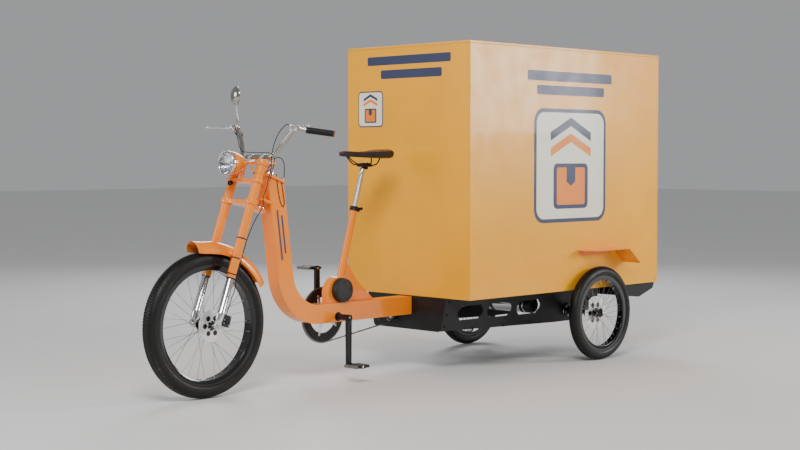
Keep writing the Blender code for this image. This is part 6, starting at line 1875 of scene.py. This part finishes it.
class TRIKE_OT_chassis(TrikeOperator, bpy.types.Operator):
    """Chassis plates, carriers, motor, battery and bumper"""
    bl_idname = "trike.chassis"
    bl_label = "Chassis"

    def execute(self, context):
        for side in ("left", "right"):
            soften(f"chassis_{side}", "coat", 0.0012)
            soften(f"axle_carrier_{side}", "coat", 0.0014)
        soften("chassis_front", "coat", 0.0012)
        soften("rear_bumper", "coat", 0.003, 3)
        lean = Vector((0.965, 0, -0.26))
        bolts = []
        for way in (1, -1):
            facing = Vector((way * lean.x, 0, lean.z)).normalized()
            for y, z in ((0.03, 0.385), (0.03, 0.315), (0.03, 0.25), (0.262, 0.395), (0.54, 0.395),
                         (0.8, 0.395), (0.262, 0.222), (0.52, 0.218), (0.76, 0.214), (1.26, 0.39),
                         (1.26, 0.33)):
                bolts.append((Vector((way * (chassis_x(z) + 0.0002), FRONT_Y + y, z)), facing))
        spots_of("chassis_side_bolts", hex_head(0.0062, 0.0048), "coat", "frame", bolts)
        front = []
        for way in (1, -1):
            for z in (0.38, 0.318, 0.262):
                front.append((Vector((way * (chassis_x(z) - 0.022), FRONT_Y - 0.0037, z)), Vector((0, -1, 0))))
            front.append((Vector((way * 0.075, FRONT_Y - 0.0037, 0.33)), Vector((0, -1, 0))))
            front.append((Vector((way * 0.075, FRONT_Y - 0.0037, 0.385)), Vector((0, -1, 0))))
        spots_of("chassis_front_bolts", hex_head(0.0055, 0.004), "coat", "frame", front)
        self.motor()
        self.axles()
        low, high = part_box("battery_pack")
        piece("battery_skin", block(low, high), "plastic", "frame", "battery_pack", bevel=0.008, segments=4)
        ribs = [Vector((low.x - 0.0004, low.y + 0.03, (low.z + high.z) / 2)),
                Vector((low.x - 0.0004, high.y - 0.03, (low.z + high.z) / 2))]
        bar = block((-0.0012, -0.0035, -0.055), (0.0012, 0.0035, 0.055))
        along("battery_ribs", bar, "plastic", "frame", ribs, 12, "path")
        return {"FINISHED"}

    def axles(self):
        for side, way in SIDES:
            spin = Vector(joint(f"rear_{side}_wheel_spin")["pos_m"])
            nut = turned([(0, 0.025), (0.015, 0.025), (0.015, 0.028), (0.0115, 0.029), (0.0115, 0.03),
                          (0, 0.03)], spin, ALONG_X * way, 6)
            tip = spin + ALONG_X * way * 0.0295
            cap = turned([(0, 0), (0.0128, 0), (0.0128, 0.002), (0.009, 0.0075), (0.005, 0.009), (0, 0.0092)],
                         tip, ALONG_X * way, 32)
            piece(f"rear_axle_washer_{side}", nut, "zinc", "frame")
            piece(f"rear_axle_cap_{side}", cap, "chrome", "frame")
            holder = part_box(f"axle_carrier_{side}")
            inner = min(abs(holder[0].x), abs(holder[1].x))
            bolt_spots = []
            for i in range(6):
                a = math.pi * i / 3 + 0.3
                bolt_spots.append((Vector((way * (inner + 0.0082), spin.y + 0.031 * math.cos(a),
                                           spin.z + 0.031 * math.sin(a))), Vector((way, 0, 0))))
            spots_of(f"axle_flange_bolts_{side}", hex_head(0.0045, 0.004), "zinc", "frame", bolt_spots)
            hose = smooth_path([(way * 0.47, spin.y - 0.085, 0.338), (way * 0.455, spin.y - 0.095, 0.365),
                                (way * 0.42, spin.y - 0.105, 0.388), (way * 0.35, spin.y - 0.11, 0.398),
                                (way * 0.292, spin.y - 0.11, 0.398)], 8)
            piece(f"rear_brake_hose_{side}", swept(hose, 0.0027, 12), "grip", "frame")

    def motor(self):
        low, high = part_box("drive_motor")
        y = (low.y + high.y) / 2
        z = low.z + 0.047
        reach = high.x - low.x
        profile = [(0, 0.001), (0.03, 0.001), (0.036, 0.004), (0.0462, 0.012), (0.0468, 0.016)]
        for i in range(6):
            at = 0.08 + i * 0.012
            profile += [(0.0468, at), (0.0448, at + 0.002), (0.0448, at + 0.006), (0.0468, at + 0.008)]
        profile += [(0.0468, reach - 0.052), (0.044, reach - 0.05), (0.044, reach - 0.048), (0, reach - 0.048)]
        piece("drive_motor_skin", turned(profile, (low.x, y, z), ALONG_X, 72), "chrome", "frame", "drive_motor",
              angle=30)
        cap = turned([(0, reach - 0.048), (0.0468, reach - 0.048), (0.0468, reach - 0.016), (0.043, reach - 0.006),
                      (0.036, reach - 0.001), (0.02, reach - 0.001), (0.019, reach - 0.003), (0, reach - 0.003)],
                     (low.x, y, z), ALONG_X, 72)
        piece("drive_motor_cap", cap, "plastic", "frame")
        bolt = screw_head(0.0034, 0.0024)
        stood(bolt, 90, (-0.0012, 0, 0.03))
        ring_of("drive_motor_bolts", bolt, "zinc", "frame", 4, (high.x, y, z), turn=(0.6, 0, 0))
        hanger = prism([(y - 0.02, high.z), (y - 0.02, z + 0.03), (y + 0.02, z + 0.03), (y + 0.02, high.z)],
                       low.x + 0.06, high.x - 0.06)
        piece("drive_motor_hanger", hanger, "coat", "frame", bevel=0.002)
        for label, x in (("inner", low.x + 0.068), ("outer", high.x - 0.068)):
            band = turned(oblong((0.0466, -0.009), (0.0485, 0.009)), (x, y, z),
                          ALONG_X, 72, ring=True)
            piece(f"drive_motor_band_{label}", band, "coat", "frame", bevel=0.0005)


class TRIKE_OT_box(TrikeOperator, bpy.types.Operator):
    """Box panels, door, hinges, latch, wheel guards, screws and plain signs"""
    bl_idname = "trike.box"
    bl_label = "Delivery Box"

    def execute(self, context):
        sizes = context.scene.trike_sizes
        half = -BOX_LOW.x
        back = BOX_HIGH.y
        for node in ("box_roof", "box_front", "box_left", "box_floor"):
            finish = "coat" if node == "box_floor" else "lacquer"
            low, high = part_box(node)
            piece(f"{node}_panel", block(low, high), finish, "frame", node, bevel=0.0016, segments=3)
        low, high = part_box("box_left")
        piece("box_right_panel", block((-half, low.y, low.z), (-half + PANEL, high.y, high.z)), "lacquer", "frame",
              "box_right", bevel=0.0016, segments=3)
        low, high = BOX_LOW, BOX_HIGH
        piece("rear_door_panel", block((low.x, back + 0.0003, low.z), (high.x, back + 0.0003 + PANEL, high.z)),
              "lacquer", "door", "rear_door", bevel=0.0016, segments=3)
        self.door(half, back + 0.0003 + PANEL)
        side_screws = [(0.026, 1.752), (0.05, 1.069), (0.034, 0.43), (1.66, 1.752), (1.66, 0.429),
                       (1.66, 1.069), (0.846, 1.76), (0.846, 0.418)]
        spots = [(Vector((way * (half + 0.0002), FRONT_Y + y, z)), Vector((way, 0, 0)))
                 for way in (1, -1) for y, z in side_screws if not (way < 0 and y == 1.66)]
        spots += [(Vector((x, FRONT_Y - 0.0002, z)), Vector((0, -1, 0)))
                  for x, z in ((-0.445, 1.754), (0.44, 1.756), (0.44, 0.426), (-0.445, 0.426))]
        spots_of("box_screws", screw_head(sizes.screw_radius, sizes.screw_radius * 0.45), "zinc", "frame", spots)
        self.signs()
        self.guards(half)
        return {"FINISHED"}

    def door(self, half, back):
        hinge = Vector(joint("rear_door_hinge")["pos_m"])
        screws_door, screws_frame = [], []
        for i, up in enumerate((0.2, 0.68, 1.16)):
            z = BOX_LOW.z + up
            barrel = turned(oblong((0.0031, -0.025), (0.006, 0.025)),
                            (hinge.x, hinge.y, z), UP, 32, ring=True)
            piece(f"hinge_barrel_{i + 1}", barrel, "steel", "door", bevel=0.0004)
            leaf = block((hinge.x + 0.004, back, z - 0.025), (hinge.x + 0.052, back + 0.0032, z + 0.025))
            piece(f"hinge_leaf_{i + 1}", leaf, "steel", "door", bevel=0.0008)
            screws_door += [(Vector((hinge.x + dx, back + 0.0032, z + dz)), Vector((0, 1, 0)))
                            for dx in (0.022, 0.042) for dz in (-0.016, 0.016)]
            pin = turned([(0, -0.056), (0.0022, -0.056), (0.0026, -0.055), (0.0026, 0.055), (0.0022, 0.056),
                          (0, 0.056)], (hinge.x, hinge.y, z), UP, 20)
            piece(f"hinge_pin_{i + 1}", pin, "zinc", "frame")
            for label, low, high in (("low", z - 0.056, z - 0.026), ("high", z + 0.026, z + 0.056)):
                knuckle = turned(oblong((0.002, low), (0.006, high)),
                                 (hinge.x, hinge.y, 0), UP, 32, ring=True)
                piece(f"hinge_knuckle_{i + 1}_{label}", knuckle, "steel", "frame", bevel=0.0004)
                plate = block((-half - 0.0085, back - 0.052, low), (-half + 0.0001, hinge.y + 0.003, high))
                cut = block((-half - 0.006, back - 0.06, low - 0.01), (-half + 0.01, hinge.y + 0.01, high + 0.01))
                piece(f"hinge_wing_{i + 1}_{label}", plate, "steel", "frame", cuts=(cut,), bevel=0.0006)
                arm = block((-half - 0.0062, back - 0.052, low), (-half + 0.0002, back - 0.012, high))
                piece(f"hinge_pad_{i + 1}_{label}", arm, "steel", "frame", bevel=0.0008)
                screws_frame.append((Vector((-half - 0.0086, back - 0.034, (low + high) / 2)), Vector((-1, 0, 0))))
        spots_of("hinge_screws_door", screw_head(0.0042, 0.002), "zinc", "door", screws_door)
        spots_of("hinge_screws_frame", screw_head(0.0042, 0.0016), "zinc", "frame", screws_frame)
        latch = Vector(joint("door_latch_turn")["pos_m"])
        plate = turned([(0, 0), (0.0215, 0), (0.022, 0.001), (0.022, 0.005), (0.02, 0.0078), (0.012, 0.009),
                        (0, 0.009)], latch, ALONG_Y, 48)
        piece("latch_rose", plate, "steel", "latch", "door_latch", angle=30)
        stem = rod(latch + ALONG_Y * 0.008, latch + ALONG_Y * 0.02, 0.0095, 32)
        piece("latch_stem", stem, "steel", "latch")
        low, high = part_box("door_latch")
        grip = prism(capsule((latch.x, latch.z), 0.012, (low.x + 0.0075, latch.z), 0.0072, 24),
                     latch.y + 0.0125, high.y, "Y")
        piece("latch_handle", grip, "steel", "latch", bevel=0.0032, segments=4)
        keyhole = turned(oblong((0.0032, 0), (0.0056, 0.0006)),
                         (latch.x, high.y - 0.0002, latch.z), ALONG_Y, 24, ring=True)
        piece("latch_lock_ring", keyhole, "zinc", "latch")

    def plaque(self, name, outline, finish, lift, face):
        """A flat painted shape on a face of the box: outline in (across, up)."""
        if face == "front":
            bm = prism(outline, FRONT_Y - GRAPHIC_LIFT * lift, FRONT_Y + 0.0004, "Y")
        else:
            x = -BOX_LOW.x
            if face == "right":
                bm = prism(outline, -x - GRAPHIC_LIFT * lift, -x + 0.0004)
            else:
                bm = prism(outline, x - 0.0004, x + GRAPHIC_LIFT * lift)
        piece(name, bm, finish, "frame")

    def parcel(self, name, face, low, high):
        """A framed sign with a generic parcel: cream ground, ink border, taped carton, two chevrons."""
        wide, tall = high[0] - low[0], high[1] - low[1]
        unit = min(wide, tall) / 10

        def at(u, v):
            return (low[0] + wide * u, low[1] + tall * v)

        def rect(u0, v0, u1, v1, radius):
            return rounded(at(u0, v0), at(u1, v1), radius, 6)

        self.plaque(f"{name}_border", rounded(low, high, unit * 1.25, 10), "ink", 1, face)
        rim = unit * 0.34
        self.plaque(f"{name}_ground", rounded((low[0] + rim, low[1] + rim), (high[0] - rim, high[1] - rim),
                                              unit * 0.95, 10), "cream", 2, face)
        self.plaque(f"{name}_carton_edge", rect(0.26, 0.12, 0.74, 0.52, unit * 0.5), "ink", 3, face)
        self.plaque(f"{name}_carton", rect(0.305, 0.155, 0.695, 0.485, unit * 0.25), "sign_orange", 4, face)
        self.plaque(f"{name}_tape", [at(0.44, 0.485), at(0.56, 0.485), at(0.56, 0.36), at(0.5, 0.32),
                                     at(0.44, 0.36)], "ink", 5, face)
        for i, base in enumerate((0.58, 0.72)):
            tip = [at(0.22, base), at(0.5, base + 0.13), at(0.78, base), at(0.78, base + 0.075),
                   at(0.5, base + 0.205), at(0.22, base + 0.075)]
            self.plaque(f"{name}_chevron_{i + 1}", tip, "ink" if i else "sign_orange", 3, face)

    def signs(self):
        front_bars = ((-0.305, 1.668, 0.327, 1.716), (-0.2, 1.592, 0.262, 1.64))
        for i, (x0, z0, x1, z1) in enumerate(front_bars):
            self.plaque(f"front_bar_{i + 1}", rounded((x0, z0), (x1, z1), 0.01, 6), "ink", 1, "front")
        self.parcel("front_sign", "front", (-0.38, 1.328), (-0.183, 1.527))
        for face in ("left", "right"):
            side_bars = ((0.466, 1.582, 1.221, 1.637), (0.545, 1.506, 1.15, 1.558))
            for i, (y0, z0, y1, z1) in enumerate(side_bars):
                outline = rounded((FRONT_Y + y0, z0), (FRONT_Y + y1, z1), 0.012, 6)
                self.plaque(f"{face}_bar_{i + 1}", outline, "ink", 1, face)
            self.parcel(f"{face}_sign", face, (FRONT_Y + 0.522, 0.796), (FRONT_Y + 1.168, 1.431))

    def guards(self, half):
        for side, way in SIDES:
            soften(f"wheel_guard_{side}", "paint", 0.0012)
            low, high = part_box(f"wheel_guard_{side}")
            spots = [(Vector((way * (half + 0.0045), low.y + s, high.z - 0.019)), Vector((way, 0, 0)))
                     for s in (0.05, 0.16, 0.27)]
            spots_of(f"guard_bolts_{side}", screw_head(0.005), "zinc", "frame", spots)


class TRIKE_OT_cables(TrikeOperator, bpy.types.Operator):
    """Brake cables, their ferrules and clips"""
    bl_idname = "trike.cables"
    bl_label = "Cables"

    def execute(self, context):
        left = [(0.222, -0.133, 0.179), (0.202, -0.137, 0.186), (0.176, -0.142, 0.156),
                (0.156, -0.14, 0.116), (0.142, -0.132, 0.065), (0.134, -0.118, 0.02),
                (0.127, -0.098, -0.03), (0.123, -0.093, -0.09), (0.126, -0.09, -0.116),
                (0.12, -0.093, -0.17), (0.127, -0.085, -0.216), (0.115, -0.101, -0.3),
                (0.109, -0.111, -0.4), (0.109, -0.111, -0.5), (0.107, -0.107, -0.58),
                (0.088, -0.085, -0.66)]
        left = [RAKED @ Vector(p) for p in left]
        self.cable("brake_cable_left_skin", left, 0.0022, "steering", "brake_cable_left")
        head = [(0.002, 0.002, 0.046), (0.004, 0.005, 0.06), (0.012, 0.016, 0.072), (0.024, 0.032, 0.07),
                (0.034, 0.045, 0.052), (0.04, 0.054, 0.022), (0.044, 0.06, -0.01), (0.045, 0.061, -0.0322)]
        self.cable("head_cable_skin", [RAKED @ Vector(p) for p in head], 0.0022, "frame", "head_cable")
        tail = [(0.0905, -0.088, -0.651), (0.088, -0.085, -0.66), (0.08, LEG_Y + 0.05, -0.684),
                (0.066, LEG_Y + 0.062, -0.702), (0.056, LEG_Y + 0.066, AXLE_Z + 0.09),
                (0.054, LEG_Y + 0.066, AXLE_Z + 0.068)]
        tail = [RAKED @ Vector(p) for p in tail]
        hose = new_object("brake_cable_tail", swept(smooth_path(tail, 8), 0.0021, 14), MATERIALS["grip"])
        hose.data.shade_smooth()
        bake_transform(hose)
        ferrule = turned([(0.002, 0), (0.0034, 0), (0.0038, 0.001), (0.0038, 0.008), (0.003, 0.01),
                          (0.002, 0.01)], RAKED @ Vector((0.045, 0.061, -0.033)), RAKED.to_3x3() @ UP, 24,
                         ring=True)
        piece("head_cable_ferrule", ferrule, "chrome", "frame")
        lean = Vector((0, -math.sin(BEAM_LEAN), math.cos(BEAM_LEAN)))
        across = Vector((0, lean.z, -lean.y))
        cheek = Vector((BEAM_WIDTH / 2 + 0.0022, FRONT_Y - BEAM_CORNER_AHEAD, BEAM_HEIGHT))
        loop = [(0.03, 0.702), (0.034, 0.66), (0.037, 0.6), (0.036, 0.575), (0.027, 0.56), (0.016, 0.572),
                (0.01, 0.6), (0.006, 0.64), (0.004, 0.69), (0.003, 0.728)]
        self.cable("beam_cable_loop", [cheek + across * a + lean * up for a, up in loop], 0.0018, "frame")
        for i, at in enumerate(left[12:15]):
            local = TO_FORK @ at
            tie = turned(oblong((LEG_RADIUS - 0.0001, -0.003), (LEG_RADIUS + 0.0011, 0.003)),
                         (LEG_X, LEG_Y, local.z), UP, 48, ring=True)
            piece(f"cable_tie_{i + 1}", raked(tie), "plastic", "steering")
        second = [(-0.222, -0.133, 0.179), (-0.202, -0.135, 0.186), (-0.18, -0.13, 0.156),
                  (-0.156, -0.12, 0.104), (-0.125, -0.112, 0.064), (-0.08, -0.108, 0.054),
                  (0, -0.108, 0.052), (0.08, -0.106, 0.052), (0.118, -0.102, 0.042),
                  (0.133, -0.096, 0.01), (0.131, -0.09, -0.04), (0.128, -0.087, -0.09)]
        self.cable("brake_cable_right", [RAKED @ Vector(p) for p in second], 0.0018, "steering")
        return {"FINISHED"}

    def cable(self, name, points, radius, body, *nodes):
        """One cable that runs from the object and back into it."""
        path = smooth_path(points, 8)
        made = piece(name, swept(path, radius, 14), "grip", body, nodes)


PIECE_OPERATORS = (
    TRIKE_OT_finishes, TRIKE_OT_stage, TRIKE_OT_wheels, TRIKE_OT_frame, TRIKE_OT_fork, TRIKE_OT_mudguard,
    TRIKE_OT_headlight, TRIKE_OT_cockpit, TRIKE_OT_saddle, TRIKE_OT_drive, TRIKE_OT_chassis, TRIKE_OT_box,
    TRIKE_OT_cables,
)


class TRIKE_PT_looks(bpy.types.Panel):
    """Every step of the tricycle, in order"""
    bl_idname = "TRIKE_PT_looks"
    bl_label = "Cargo Tricycle"
    bl_space_type = "VIEW_3D"
    bl_region_type = "UI"
    bl_category = "Tricycle"

    def draw(self, context):
        for settings in (context.scene.trike_colours, context.scene.trike_sizes):
            for name in settings.__annotations__:
                self.layout.prop(settings, name)
        for operator in PIECE_OPERATORS:
            self.layout.operator(operator.bl_idname)


CLASSES = (TRIKE_PG_colours, TRIKE_PG_sizes, *PIECE_OPERATORS, TRIKE_PT_looks)


def register():
    for item in CLASSES:
        bpy.utils.register_class(item)
    bpy.types.Scene.trike_colours = PointerProperty(type=TRIKE_PG_colours)
    bpy.types.Scene.trike_sizes = PointerProperty(type=TRIKE_PG_sizes)


def unregister():
    del bpy.types.Scene.trike_colours
    del bpy.types.Scene.trike_sizes
    for item in reversed(CLASSES):
        bpy.utils.unregister_class(item)


def main():
    register()
    for operator in PIECE_OPERATORS:
        area, name = operator.bl_idname.split(".")
        getattr(getattr(bpy.ops, area), name)()


if __name__ == "__main__":
    main()
